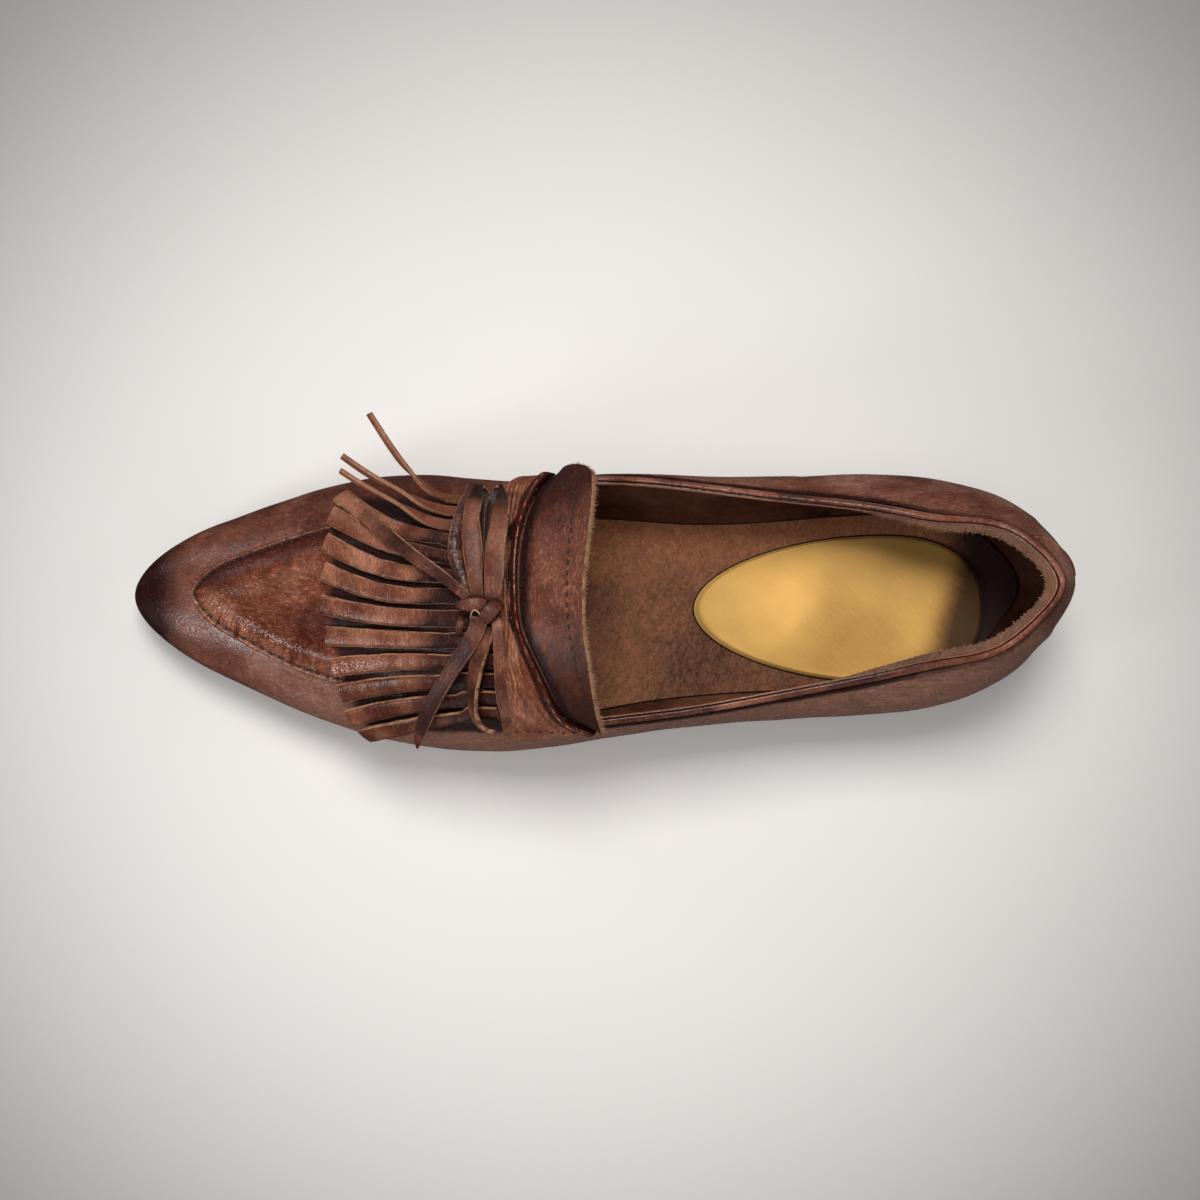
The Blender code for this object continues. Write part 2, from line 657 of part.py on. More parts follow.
def laid_strip(strip, root):
    """Left and right edge of a strip that lies on the vamp, with their normals, from its root outwards."""
    share = np.linspace(0, 1, STRIP_STEPS + 1)[1:]
    middle = root.mean(0)
    bend = strip.bow * np.sin(np.pi * share)
    x = middle[0] + (strip.tip_x - middle[0]) * share
    y = middle[1] + (strip.tip_y - middle[1]) * share + bend
    centre, normal = vamp_point(x, y, FRINGE_LIFT + STRIP_ARCH * np.sin(np.pi * share))
    along = unit(np.gradient(np.vstack([middle, centre]), axis=0)[1:])
    side = unit(np.cross(normal, along))
    width = np.linalg.norm(root[1] - root[0])
    half = (width + (STRIP_TIP_WIDTH - width) * share)[:, None] / 2
    return centre - side * half, centre + side * half, normal


def curled_strip(rows, root, root_normal):
    """Left and right edge of a strip that stands off the vamp and turns onto its edge."""
    middle = root.mean(0)
    path = spline(np.arange(len(rows) + 1), [(*middle, 0.0)] + rows)
    x, y, z, turn = path(np.linspace(0, len(rows), STRIP_STEPS + 1)[1:]).T
    centre = np.stack([x, y, z], -1)
    along = unit(np.gradient(np.vstack([middle, centre]), axis=0)[1:])
    flat = unit(np.cross(np.broadcast_to(root_normal, along.shape), along))
    up = np.cross(along, flat)
    turn = np.radians(turn)[:, None]
    side = flat * np.cos(turn) + up * np.sin(turn)
    return centre - side * CURL_WIDTH / 2, centre + side * CURL_WIDTH / 2, np.cross(along, side)


def make_fringe(finish):
    """Band under the bow with its strips, as one sheet."""
    strips = len(CURLS) + len(STRIPS)
    cut = np.linspace(0, 1, strips + 1)
    place = np.stack([cut[:-1] + FRINGE_SLIT, cut[1:] - FRINGE_SLIT], -1).ravel()
    root_x = np.repeat([CURL_ROOT_X] * len(CURLS) + [s.root_x for s in STRIPS], 2)
    back = np.full_like(root_x, FRINGE_BACK_X)
    levels = (FRINGE_LIFT + LEATHER / 2, FRINGE_LIFT - LEATHER / 2)
    outer = [np.stack([skin(*fringe_root(place, x), levels[0]) for x in (back, root_x)], 1)]
    inner = [np.stack([skin(*fringe_root(place, x), levels[1]) for x in (back, root_x)], 1)]
    faces = grid_faces(len(place), 2)
    start = 2 * len(place)
    for i in range(strips):
        top, under = outer[0][2 * i : 2 * i + 2, 1], inner[0][2 * i : 2 * i + 2, 1]
        root = (top + under) / 2
        if i < len(CURLS):
            left, right, normal = curled_strip(CURLS[i], root, unit((top - under).mean(0)))
        else:
            left, right, normal = laid_strip(STRIPS[i - len(CURLS)], root)
        edges = np.stack([left, right], 1)
        half = (normal * LEATHER / 2)[:, None]
        outer.append(edges + half)
        inner.append(edges - half)
        first = [4 * i + 1, 4 * i + 3]
        for step in range(STRIP_STEPS):
            nearer = first if step == 0 else [start + 2 * step - 2, start + 2 * step - 1]
            faces.append([nearer[1], start + 2 * step + 1, start + 2 * step, nearer[0]])
        start += 2 * STRIP_STEPS
    outer = np.concatenate([o.reshape(-1, 3) for o in outer])
    inner = np.concatenate([i.reshape(-1, 3) for i in inner])
    return thick_sheet("fringe", outer, inner, faces, finish)


# The bow: ribbons over the vamp, given by foot points on it and a lift off it. A loop goes out low and
# comes back high.
Ribbon = namedtuple("Ribbon", "x y lift")
LOOPS = {
    "loop_medial_front": (4.8, 4.8, [
        Ribbon(137.8, 0.4, 4.0), Ribbon(137.6, -12.0, 4.0), Ribbon(138.0, -20.6, 4.0),
        Ribbon(138.0, -24.8, 6.2), Ribbon(138.0, -20.6, 8.6), Ribbon(137.6, -12.0, 8.6),
        Ribbon(137.8, 0.2, 7.0),
    ]),
    "loop_medial_back": (5.4, 5.4, [
        Ribbon(132.4, 0.4, 4.0), Ribbon(132.0, -12.0, 4.0), Ribbon(131.2, -20.6, 4.0),
        Ribbon(131.0, -24.6, 6.2), Ribbon(131.2, -20.6, 8.6), Ribbon(132.0, -12.0, 8.6),
        Ribbon(132.4, 0.2, 7.0),
    ]),
    "loop_lateral_front": (4.6, 4.6, [
        Ribbon(136.6, 11.6, 4.0), Ribbon(136.6, 22.0, 4.0), Ribbon(136.0, 32.0, 4.2),
        Ribbon(135.6, 36.0, 6.6), Ribbon(135.8, 32.0, 9.4), Ribbon(136.2, 22.0, 9.0),
        Ribbon(136.6, 11.8, 7.0),
    ]),
    "loop_lateral_back": (4.0, 4.0, [
        Ribbon(131.6, 11.6, 4.0), Ribbon(131.2, 24.0, 4.0), Ribbon(130.6, 33.4, 4.0),
        Ribbon(130.4, 37.2, 6.2), Ribbon(130.6, 33.4, 8.2), Ribbon(131.2, 24.0, 8.2),
        Ribbon(131.6, 11.8, 7.0),
    ]),
}
TAILS = {
    "bow_strap": (3.0, 3.0, [
        Ribbon(143.0, 0.6, 4.2), Ribbon(144.4, -11.8, 4.2), Ribbon(143.6, -20.6, 4.2),
        Ribbon(142.0, -27.0, 4.0),
    ]),
    "tail_medial": (4.2, 4.6, [
        Ribbon(143.6, 4.6, 7.6), Ribbon(151.2, -2.8, 7.0), Ribbon(159.2, -10.8, 6.0),
        Ribbon(167.5, -17.6, 5.2), Ribbon(172.2, -21.0, 5.2),
    ]),
    "tail_lateral": (4.8, 2.4, [
        Ribbon(141.0, 10.2, 6.2), Ribbon(144.2, 18.6, 6.2), Ribbon(148.0, 27.4, 5.4),
        Ribbon(152.6, 35.4, 5.2), Ribbon(155.6, 41.6, 5.2),
    ]),
}
LOOP_STEPS = 16
TAIL_STEPS = 8
TAPER_CURVE = 3


def ribbon(name, width, tip_width, rows, steps, finish, folded):
    """A flat ribbon along the rows. A folded one keeps its width along the shoe all the way round."""
    x, y, lift = np.array(rows, float).T
    foot, normal = vamp_point(x, y, lift)
    path = spline(np.arange(len(rows)), np.concatenate([foot, normal], 1))
    place = path(np.linspace(0, len(rows) - 1, steps + 1))
    centre, normal = place[:, :3], unit(place[:, 3:])
    along = unit(np.gradient(centre, axis=0))
    if folded:
        crest = np.stack([normal[:, 2], np.zeros(len(normal)), -normal[:, 0]], -1)
        side = unit(crest - along * (crest * along).sum(-1, keepdims=True))
    else:
        side = unit(np.cross(along, normal))
    face = np.cross(side, along)
    half = np.linspace(0, 1, steps + 1)[:, None] ** TAPER_CURVE * (tip_width - width) / 2 + width / 2
    edges = np.stack([centre - side * half, centre + side * half], 1)
    half = (face * LEATHER / 2)[:, None]
    return thick_sheet(name, edges + half, edges - half, grid_faces(steps + 1, 2), finish)


KNOT_X = 136.8
KNOT_Y = 6.0
KNOT_HALF_LENGTH = 5.8
KNOT_HALF_WIDTH = 4.4
KNOT_HALF_HEIGHT = 4.0
KNOT_RINGS = 8
KNOT_SIDES = 10
KNOT_WRAP = 0.10


def make_knot(finish):
    """A rounded knot along the ridge, with the dip between its two turns."""
    share = np.linspace(-0.98, 0.98, KNOT_RINGS + 1)
    x = KNOT_X + KNOT_HALF_LENGTH * share
    size = (1 - np.abs(share) ** 2.6) ** 0.5 * (1 - KNOT_WRAP * np.exp(-((share / 0.25) ** 2)))
    floor = ridge_at(x)[:, 1] + FRINGE_LIFT + LEATHER / 2 + GAP
    turn = np.linspace(0, 2 * np.pi, KNOT_SIDES + 1)
    y = KNOT_Y + KNOT_HALF_WIDTH * size[:, None] * np.cos(turn)
    z = floor[:, None] + KNOT_HALF_HEIGHT * (1 + size[:, None] * np.sin(turn))
    rings = np.stack([np.broadcast_to(x[:, None], y.shape), y, z], -1)
    return tube("knot", rings, finish)


def make_bow(finish):
    make_knot(finish)
    for name, shape in LOOPS.items():
        ribbon(name, *shape, LOOP_STEPS, finish, folded=True)
    for name, shape in TAILS.items():
        ribbon(name, *shape, TAIL_STEPS, finish, folded=False)


def make_materials():
    return {
        "leather": material("brown_leather", (0.165, 0.062, 0.034), 0.42),
        "dark": material("dark_leather", (0.075, 0.028, 0.018), 0.38),
        "suede": material("insole_suede", (0.085, 0.040, 0.022), 0.85),
        "gold": material("gold_pad", (0.62, 0.40, 0.12), 0.38, 0.8),
        "sole": material("sole_rubber", (0.055, 0.030, 0.020), 0.60),
    }


def main():
    for obj in list(bpy.data.objects):
        bpy.data.objects.remove(obj)
    finish = make_materials()
    make_outsole(finish["sole"])
    make_heel(finish["sole"])
    make_insole(finish["suede"])
    make_heel_pad(finish["gold"])
    make_upper(finish["leather"])
    make_apron(finish["leather"])
    make_saddle(finish["dark"])
    make_tongue(finish["leather"])
    make_binding(finish["leather"])
    make_fringe(finish["leather"])
    make_bow(finish["dark"])


main()
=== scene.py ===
"""Looks of the left tassel loafer: burnished leather, suede sock, gold heel pad, stitches and raw edges.

Sizes are in millimetres and become metres where a mesh is made. X runs from the heel to the toe, Y to the
outer (lateral) side and Z up, as in the part's source, whose last is repeated here as one function:
skin(column, girth, grow).
"""

import math
from collections import namedtuple

import bmesh
import bpy
import numpy as np
from mathutils import Matrix


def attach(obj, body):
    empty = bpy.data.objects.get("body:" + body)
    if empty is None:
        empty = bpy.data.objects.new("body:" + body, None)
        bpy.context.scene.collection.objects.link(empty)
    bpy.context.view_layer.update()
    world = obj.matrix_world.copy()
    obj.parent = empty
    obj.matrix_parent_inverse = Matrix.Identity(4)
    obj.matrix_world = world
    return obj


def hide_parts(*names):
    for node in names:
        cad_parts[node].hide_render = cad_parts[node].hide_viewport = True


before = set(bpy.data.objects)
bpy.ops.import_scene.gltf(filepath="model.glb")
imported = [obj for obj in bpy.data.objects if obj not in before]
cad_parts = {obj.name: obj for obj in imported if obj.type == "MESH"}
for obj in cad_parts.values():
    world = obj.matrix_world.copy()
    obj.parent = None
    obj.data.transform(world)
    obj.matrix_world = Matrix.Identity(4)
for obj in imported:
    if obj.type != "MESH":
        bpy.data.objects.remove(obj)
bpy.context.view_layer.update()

MM = 0.001
GAP = 0.3
WELD = 0.01

# Driving dimensions of the last
LENGTH = 268.1
HEEL_REACH = 26.8
BALL_WIDTH = 80.0
INSTEP_HEIGHT = 64.0
HEEL_HEIGHT = 12.0
TOE_SPRING = 6.0
SOLE_THICK = 3.5
INSOLE_THICK = 2.0
UPPER_THICK = 2.0
LEATHER = 1.2
THROAT_X = 112.0
SEAT_END_X = 38.0
TREAD_START_X = 112.0
TREAD_END_X = 160.0
TOE_X = LENGTH - HEEL_REACH
HEEL_BREAST_X = 34.0
FOOT_CURVE = 1.7
COLLAR_BLEND = 18.0

Wall = namedtuple("Wall", "along across lean foot_in wide_z full")
WALLS = [
    Wall(0.000, -0.019, 0.160, 8.0, 44.0, 1.7),
    Wall(0.018, 0.125, 0.160, 7.5, 43.0, 1.7),
    Wall(0.055, 0.281, 0.160, 6.5, 38.0, 1.7),
    Wall(0.122, 0.403, 0.163, 6.0, 32.0, 1.7),
    Wall(0.216, 0.451, 0.216, 5.5, 29.0, 1.7),
    Wall(0.342, 0.477, 0.342, 5.5, 28.0, 1.8),
    Wall(0.470, 0.524, 0.470, 5.0, 27.0, 2.25),
    Wall(0.599, 0.585, 0.599, 4.0, 23.0, 2.1),
    Wall(0.686, 0.565, 0.686, 4.0, 21.0, 2.1),
    Wall(0.752, 0.519, 0.752, 3.5, 19.0, 2.1),
    Wall(0.884, 0.344, 0.861, 3.0, 15.5, 2.2),
    Wall(0.965, 0.190, 0.891, 3.0, 14.0, 2.3),
    Wall(1.000, 0.021, 0.902, 3.0, 13.5, 2.3),
    Wall(0.965, -0.136, 0.891, 3.0, 14.0, 2.3),
    Wall(0.884, -0.264, 0.861, 3.0, 15.5, 2.2),
    Wall(0.752, -0.393, 0.752, 3.5, 20.0, 2.1),
    Wall(0.660, -0.406, 0.660, 4.5, 25.0, 2.1),
    Wall(0.575, -0.378, 0.575, 6.5, 36.0, 2.1),
    Wall(0.490, -0.396, 0.490, 8.5, 46.0, 2.25),
    Wall(0.398, -0.393, 0.398, 10.0, 42.0, 1.8),
    Wall(0.286, -0.398, 0.286, 9.5, 35.0, 1.7),
    Wall(0.193, -0.406, 0.193, 8.5, 31.0, 1.7),
    Wall(0.122, -0.380, 0.163, 8.0, 32.0, 1.7),
    Wall(0.055, -0.290, 0.160, 8.0, 38.0, 1.7),
    Wall(0.018, -0.163, 0.160, 8.0, 43.0, 1.7),
]
TIP_ROW = 12

Ridge = namedtuple("Ridge", "x y height")
RIDGE = [
    Ridge(10.0, 1.5, 1.03),
    Ridge(55.0, 3.0, 1.03),
    Ridge(105.0, 5.0, 1.02),
    Ridge(125.0, 5.6, 0.94),
    Ridge(143.0, 5.5, 0.85),
    Ridge(165.0, 4.6, 0.715),
    Ridge(190.0, 2.8, 0.555),
    Ridge(217.0, 1.2, 0.405),
]

Collar = namedtuple("Collar", "x inset z")
COLLAR_LATERAL = [
    Collar(-HEEL_REACH, 6.6, 63.0),
    Collar(-10.0, 9.4, 59.5),
    Collar(8.0, 11.4, 53.5),
    Collar(30.0, 9.8, 49.0),
    Collar(57.0, 6.3, 47.2),
    Collar(82.0, 4.0, 47.0),
    Collar(THROAT_X, 4.8, 47.0),
]
COLLAR_MEDIAL = [
    Collar(-HEEL_REACH, 6.6, 63.0),
    Collar(-10.0, 9.0, 59.5),
    Collar(8.0, 10.8, 53.5),
    Collar(30.0, 8.6, 49.0),
    Collar(57.0, 4.8, 48.0),
    Collar(82.0, 1.9, 48.4),
    Collar(THROAT_X, 0.4, 48.8),
]


def spline(knots, rows, closed=False):
    """A cubic through the rows with a smooth second derivative. The ends are free, or join when closed."""
    knots = np.asarray(knots, float)
    rows = np.asarray(rows, float).reshape(len(knots), -1)
    step = np.diff(knots)
    slope = np.diff(rows, axis=0) / step[:, None]
    system = np.eye(len(knots))
    right = np.zeros_like(rows)
    for i in range(1, len(knots) - 1):
        system[i, i - 1 : i + 2] = step[i - 1], 2 * (step[i - 1] + step[i]), step[i]
        right[i] = 6 * (slope[i] - slope[i - 1])
    if closed:
        system[0, -1] = -1
        system[-1, :2] = 2 * step[0], step[0]
        system[-1, -2:] = step[-1], 2 * step[-1]
        right[-1] = 6 * (slope[0] - slope[-1])
    bend = np.linalg.solve(system, right)

    def at(place):
        place = np.asarray(place, float)
        i = np.clip(np.searchsorted(knots, place, "right") - 1, 0, len(step) - 1)
        h = step[i][..., None]
        b = (place - knots[i])[..., None] / h
        a = 1 - b
        curve = (a**3 - a) * bend[i] + (b**3 - b) * bend[i + 1]
        return a * rows[i] + b * rows[i + 1] + curve * h**2 / 6

    return at


def smooth_step(low, high, value):
    """0 below low, 1 above high and a soft S between them."""
    t = np.clip((value - low) / (high - low), 0, 1)
    return t * t * (3 - 2 * t)


def wall_table():
    """The wall rows in millimetres, closed round, with the distance along the widest line as knots."""
    rows = np.array(WALLS + WALLS[:1], float)
    rows[:, 0] = rows[:, 0] * LENGTH - HEEL_REACH
    rows[:, 1] *= BALL_WIDTH
    rows[:, 2] = rows[:, 2] * LENGTH - HEEL_REACH
    run = np.hypot(*np.diff(rows[:, :2], axis=0).T)
    return np.concatenate([[0], np.cumsum(run)]), rows


KNOTS, WALL_ROWS_MM = wall_table()
ROUND = KNOTS[-1]
TIP = KNOTS[TIP_ROW]
wall_at = spline(KNOTS, WALL_ROWS_MM, closed=True)
ridge_at = spline([r.x for r in RIDGE], [(r.y, r.height * INSTEP_HEIGHT) for r in RIDGE])
collar_lateral_at = spline([c.x for c in COLLAR_LATERAL], [c[1:] for c in COLLAR_LATERAL])
collar_medial_at = spline([c.x for c in COLLAR_MEDIAL], [c[1:] for c in COLLAR_MEDIAL])


def sole_top(x):
    """Height of the outsole's upper face: level heel seat, arch, level tread, then toe spring."""
    seat = HEEL_HEIGHT * (1 - smooth_step(SEAT_END_X, TREAD_START_X, x))
    spring = TOE_SPRING * (np.clip((x - TREAD_END_X) / (TOE_X - TREAD_END_X), 0, 1)) ** 2
    return SOLE_THICK + seat + spring


def section(column):
    """The wall section at each column, with its spine point, reach from the spine, and collar."""
    x, y, lean, foot_in, wide_z, full = np.moveaxis(wall_at(np.mod(column, ROUND)), -1, 0)
    spine_y, ridge_z = np.moveaxis(ridge_at(lean), -1, 0)
    slope = (ridge_at(lean + 1.0) - ridge_at(lean - 1.0))[..., 1] / 2
    reach = np.hypot(x - lean, y - spine_y)
    lateral = (np.mod(column, ROUND) < TIP)[..., None]
    behind = np.clip(x, -HEEL_REACH, THROAT_X)
    collar = np.where(lateral, collar_lateral_at(behind), collar_medial_at(behind))
    angle = np.arccos(np.clip(1 - collar[..., 0] / reach, 0, 1) ** (full / 2))
    closed_rise = ridge_z - wide_z
    open_rise = (collar[..., 1] - wide_z) / np.sin(angle) ** (2 / full)
    share = smooth_step(THROAT_X, THROAT_X - COLLAR_BLEND, x)
    return {
        "spine": np.stack([lean, spine_y], -1),
        "out": np.stack([x - lean, y - spine_y], -1) / reach[..., None],
        "reach": reach,
        "foot_in": foot_in,
        "foot_z": sole_top(x - foot_in) + GAP,
        "wide_z": wide_z,
        "full": full,
        "rise": share * open_rise + (1 - share) * closed_rise,
        "slope": np.where(x > THROAT_X, slope, 0),
        "collar": angle / (np.pi / 2),
    }


def skin(column, girth, grow=0.0):
    """Points of the last, moved out by grow. girth runs from -1 at the sole edge through 0 at the widest
    line to 1 at the ridge: a power curve below the widest line and a superellipse above it."""
    s = section(column)
    low = np.clip(-girth, 0, 1)
    turn = np.clip(girth, 0, 1) * np.pi / 2
    away = np.abs(np.cos(turn)) ** (2 / s["full"])
    up = np.sin(turn) ** (2 / s["full"])
    radius = (s["reach"] + grow) * away - s["foot_in"] * low**FOOT_CURVE
    plan = s["spine"] + s["out"] * radius[..., None]
    ahead = plan[..., 0] - s["spine"][..., 0]
    z = s["wide_z"] - (s["wide_z"] - s["foot_z"]) * low
    z = z + (s["rise"] + grow) * up + s["slope"] * ahead * up
    return np.concatenate([plan, z[..., None]], -1)


SEARCH = np.linspace(0, ROUND, 4001)
SEARCH_X, SEARCH_LEAN = wall_at(SEARCH)[:, [0, 2]].T
IN_FRONT = SEARCH_X > SEAT_END_X
LATERAL_FRONT = IN_FRONT & (SEARCH <= TIP)
MEDIAL_FRONT = IN_FRONT & (SEARCH >= TIP)


def column_at(lean, medial):
    """The column on one side whose section meets the ridge at lean."""
    if medial:
        return np.interp(lean, SEARCH_LEAN[MEDIAL_FRONT][::-1], SEARCH[MEDIAL_FRONT][::-1])
    return np.interp(lean, SEARCH_LEAN[LATERAL_FRONT], SEARCH[LATERAL_FRONT])


def vamp_point(x, y, lift):
    """A point lifted off the vamp above plan place (x, y), and the vamp's normal there."""

    def height(px, py):
        z = np.zeros(np.broadcast(px, py).shape)
        for medial in (False, True):
            s = section(column_at(px, medial))
            aside = (py - s["spine"][..., 1]) * (-1 if medial else 1)
            share = np.clip(aside / s["reach"], 0, 0.999)
            on_side = s["wide_z"] + s["rise"] * (1 - share ** s["full"]) ** (1 / s["full"])
            z = np.where(aside >= 0, on_side, z)
        return z

    x, y = np.broadcast_arrays(np.asarray(x, float), np.asarray(y, float))
    reach = 0.5
    dx = (height(x + reach, y) - height(x - reach, y)) / (2 * reach)
    dy = (height(x, y + reach) - height(x, y - reach)) / (2 * reach)
    normal = unit(np.stack([-dx, -dy, np.ones_like(dx)], -1))
    return np.stack([x, y, height(x, y)], -1) + normal * np.asarray(lift, float)[..., None], normal


def unit(vector):
    """Vectors of length one."""
    return vector / np.maximum(np.linalg.norm(vector, axis=-1, keepdims=True), 1e-9)


def distance_to(plan, path):
    """Shortest distance from each plan point to a polyline, from its nearest segment."""
    path = np.asarray(path, float)
    best = np.full(plan.shape[:-1], 1e3)
    for a, b in zip(path[:-1], path[1:]):
        run = b - a
        share = np.clip(((plan - a) @ run) / (run @ run), 0, 1)
        best = np.minimum(best, np.linalg.norm(plan - a - share[..., None] * run, axis=-1))
    return best


def hump(value, middle, width):
    """1 at the middle, falling off like a bell on both sides over the width."""
    return np.exp(-(((value - middle) / width) ** 2))


def run_along(path):
    """Distance along a path of points from its start."""
    return np.concatenate([[0], np.cumsum(np.linalg.norm(np.diff(path, axis=0), axis=1))])


def through(rows, count):
    """Evenly counted places on a smooth line through the rows."""
    return spline(np.arange(len(rows)), rows)(np.linspace(0, len(rows) - 1, count))


def interpolate(place, knots, rows):
    """The rows at places between their knots, straight from one to the next."""
    return np.stack([np.interp(place, knots, column) for column in rows.T], -1)


def spokes(side, up, turn):
    """Directions round a tube at each of its rings."""
    return side[:, None] * np.cos(turn)[:, None] + up[:, None] * np.sin(turn)[:, None]


def ripple(place, pitch, seed):
    """An uneven wave along place with about that pitch: a sum of sines of near pitches, from -1 to 1."""
    waves = 5
    draw = np.random.default_rng(seed)
    total = np.zeros_like(place)
    for _ in range(waves):
        total += np.sin(2 * np.pi * place / (pitch * draw.uniform(0.7, 1.5)) + draw.uniform(0, 2 * np.pi))
    return total / waves


# Meshes


def grid_quads(columns, rows, start=0):
    """Quads of a grid of points stored column by column."""
    i, j = np.meshgrid(np.arange(columns - 1), np.arange(rows - 1), indexing="ij")
    first = (start + i * rows + j).ravel()
    return np.stack([first, first + rows, first + rows + 1, first + 1], -1)


def make_piece(name, points, faces, finish, nodes=(), marks=None, raw=None, sharp=40):
    """One named piece from points in millimetres and lists of corners, with point marks and raw faces."""
    mesh = bpy.data.meshes.new(name)
    mesh.from_pydata((np.asarray(points) * MM).tolist(), [], faces)
    for mark, values in (marks or {}).items():
        layer = mesh.attributes.new(mark, "FLOAT", "POINT")
        layer.data.foreach_set("value", np.asarray(values, np.float32))
    if raw is not None:
        layer = mesh.attributes.new("raw", "FLOAT", "FACE")
        layer.data.foreach_set("value", np.asarray(raw, np.float32))
    shell = bmesh.new()
    shell.from_mesh(mesh)
    bmesh.ops.recalc_face_normals(shell, faces=shell.faces)
    shell.to_mesh(mesh)
    shell.free()
    mesh.shade_smooth()
    mesh.set_sharp_from_angle(angle=math.radians(sharp))
    mesh.materials.append(finish)
    piece = bpy.data.objects.new(name, mesh)
    bpy.context.scene.collection.objects.link(piece)
    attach(piece, "root")
    if nodes:
        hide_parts(*nodes)
    return piece


def thick_piece(name, outer, inner, quads, finish, nodes=(), marks=None, raw_rim=True):
    """A closed sheet between two skins with the same quads. Points that meet are welded on both, and every
    free edge gets a rim, which is a raw cut."""
    outer = np.asarray(outer, float).reshape(-1, 3)
    inner = np.asarray(inner, float).reshape(-1, 3)
    key = np.floor(outer / WELD + 0.371).astype(np.int64)
    _, first, index = np.unique(key, axis=0, return_index=True, return_inverse=True)
    index = index.ravel()
    count = len(first)
    top = index[quads]
    sides = np.stack([top, np.roll(top, -1, axis=1)], -1).reshape(-1, 2)
    sides = sides[sides[:, 0] != sides[:, 1]]
    code = sides[:, 0] * count + sides[:, 1]
    free = sides[~np.isin(code, sides[:, 1] * count + sides[:, 0])]
    rim = np.stack([free[:, 1], free[:, 0], free[:, 0] + count, free[:, 1] + count], -1)
    sheet = np.concatenate([top, top[:, ::-1] + count])
    faces = [list(dict.fromkeys(face)) for face in sheet.tolist()]
    faces = [face for face in faces if len(face) > 2]
    raw = np.concatenate([np.zeros(len(faces)), np.full(len(rim), 1.0 if raw_rim else 0.0)])
    both = {k: np.tile(np.asarray(v, float).ravel()[first], 2) for k, v in (marks or {}).items()}
    points = np.concatenate([outer[first], inner[first]])
    return make_piece(name, points, faces + rim.tolist(), finish, nodes, both, raw)


# Outline of a cut strip: shares of its half width and half thickness, round the section
STRIP_SECTION = np.array(
    [
        (-0.93, 1.0), (-0.6, 1.0), (-0.2, 1.0), (0.2, 1.0), (0.6, 1.0), (0.93, 1.0), (1.0, 0.6),
        (1.0, -0.7), (0.93, -1.0), (0.3, -1.0), (-0.3, -1.0), (-0.93, -1.0), (-1.0, -0.7), (-1.0, 0.6),
    ]
)
STRIP_RAW = np.array([0, 0, 0, 0, 0, 1, 1, 1, 0, 0, 0, 1, 1, 1.0])


def strip_rings(centre, side, face, half, thick, cup=0.0):
    """Rings of a cut strip: its section carried along the centre line, with its edges cupped up by cup."""
    across, up = STRIP_SECTION.T
    half = np.broadcast_to(np.asarray(half, float), (len(centre),))[:, None, None]
    cup = np.broadcast_to(np.asarray(cup, float), (len(centre),))[:, None]
    rise = up * thick / 2 + cup * (across**2 - 0.4)
    return centre[:, None] + side[:, None] * half * across[:, None] + face[:, None] * rise[..., None]


def ring_faces(count, sides, start=0):
    """Quads round a tube of rings, and its two end caps."""
    i, j = np.meshgrid(np.arange(count - 1), np.arange(sides), indexing="ij")
    a = start + i * sides + j
    b = start + i * sides + (j + 1) % sides
    walls = np.stack([a, b, b + sides, a + sides], -1).reshape(-1, 4).tolist()
    last = start + (count - 1) * sides
    return walls + [list(range(start, start + sides)), list(range(last, last + sides))]


def strips_piece(name, strips, finish, nodes=()):
    """One piece of several cut strips, each a tuple of its rings, the share of raw core that its cut edges
    show, and its tone, stain and gloss, which may vary from ring to ring and across."""
    points, faces, raw = [], [], []
    marks = {"tone": [], "stain": [], "gloss": []}
    start = 0
    for rings, cut, *shades in strips:
        count, sides = rings.shape[:2]
        points.append(rings.reshape(-1, 3))
        faces += ring_faces(count, sides, start)
        raw.append(np.concatenate([np.tile(STRIP_RAW, count - 1), [1.0, 1.0]]) * cut)
        for mark, shade in zip(marks, shades):
            shade = np.asarray(shade, float)
            shade = shade[:, None] if shade.ndim == 1 else shade
            marks[mark].append(np.broadcast_to(shade, (count, sides)).ravel())
        start += count * sides
    marks = {mark: np.concatenate(parts) for mark, parts in marks.items()}
    return make_piece(
        name, np.concatenate(points), faces, finish, nodes, marks, np.concatenate(raw), 50
    )


def tubes_piece(name, tubes, finish, sharp=60):
    """One piece of several closed tubes, each given as rings of points."""
    points, faces = [], []
    start = 0
    for rings in tubes:
        points.append(rings.reshape(-1, 3))
        faces += ring_faces(*rings.shape[:2], start)
        start += rings.shape[0] * rings.shape[1]
    return make_piece(name, np.concatenate(points), faces, finish, sharp=sharp)


def round_tube(path, radius, sides=8):
    """Rings of a round tube along a path, about the level direction across it."""
    along = unit(np.gradient(path, axis=0))
    side = unit(np.cross(along, [0.0, 0.0, 1.0]))
    up = np.cross(side, along)
    turn = np.linspace(0, 2 * np.pi, sides, endpoint=False)
    size = np.broadcast_to(np.asarray(radius, float), (len(path),))[:, None, None]
    return path[:, None] + spokes(side, up, turn) * size


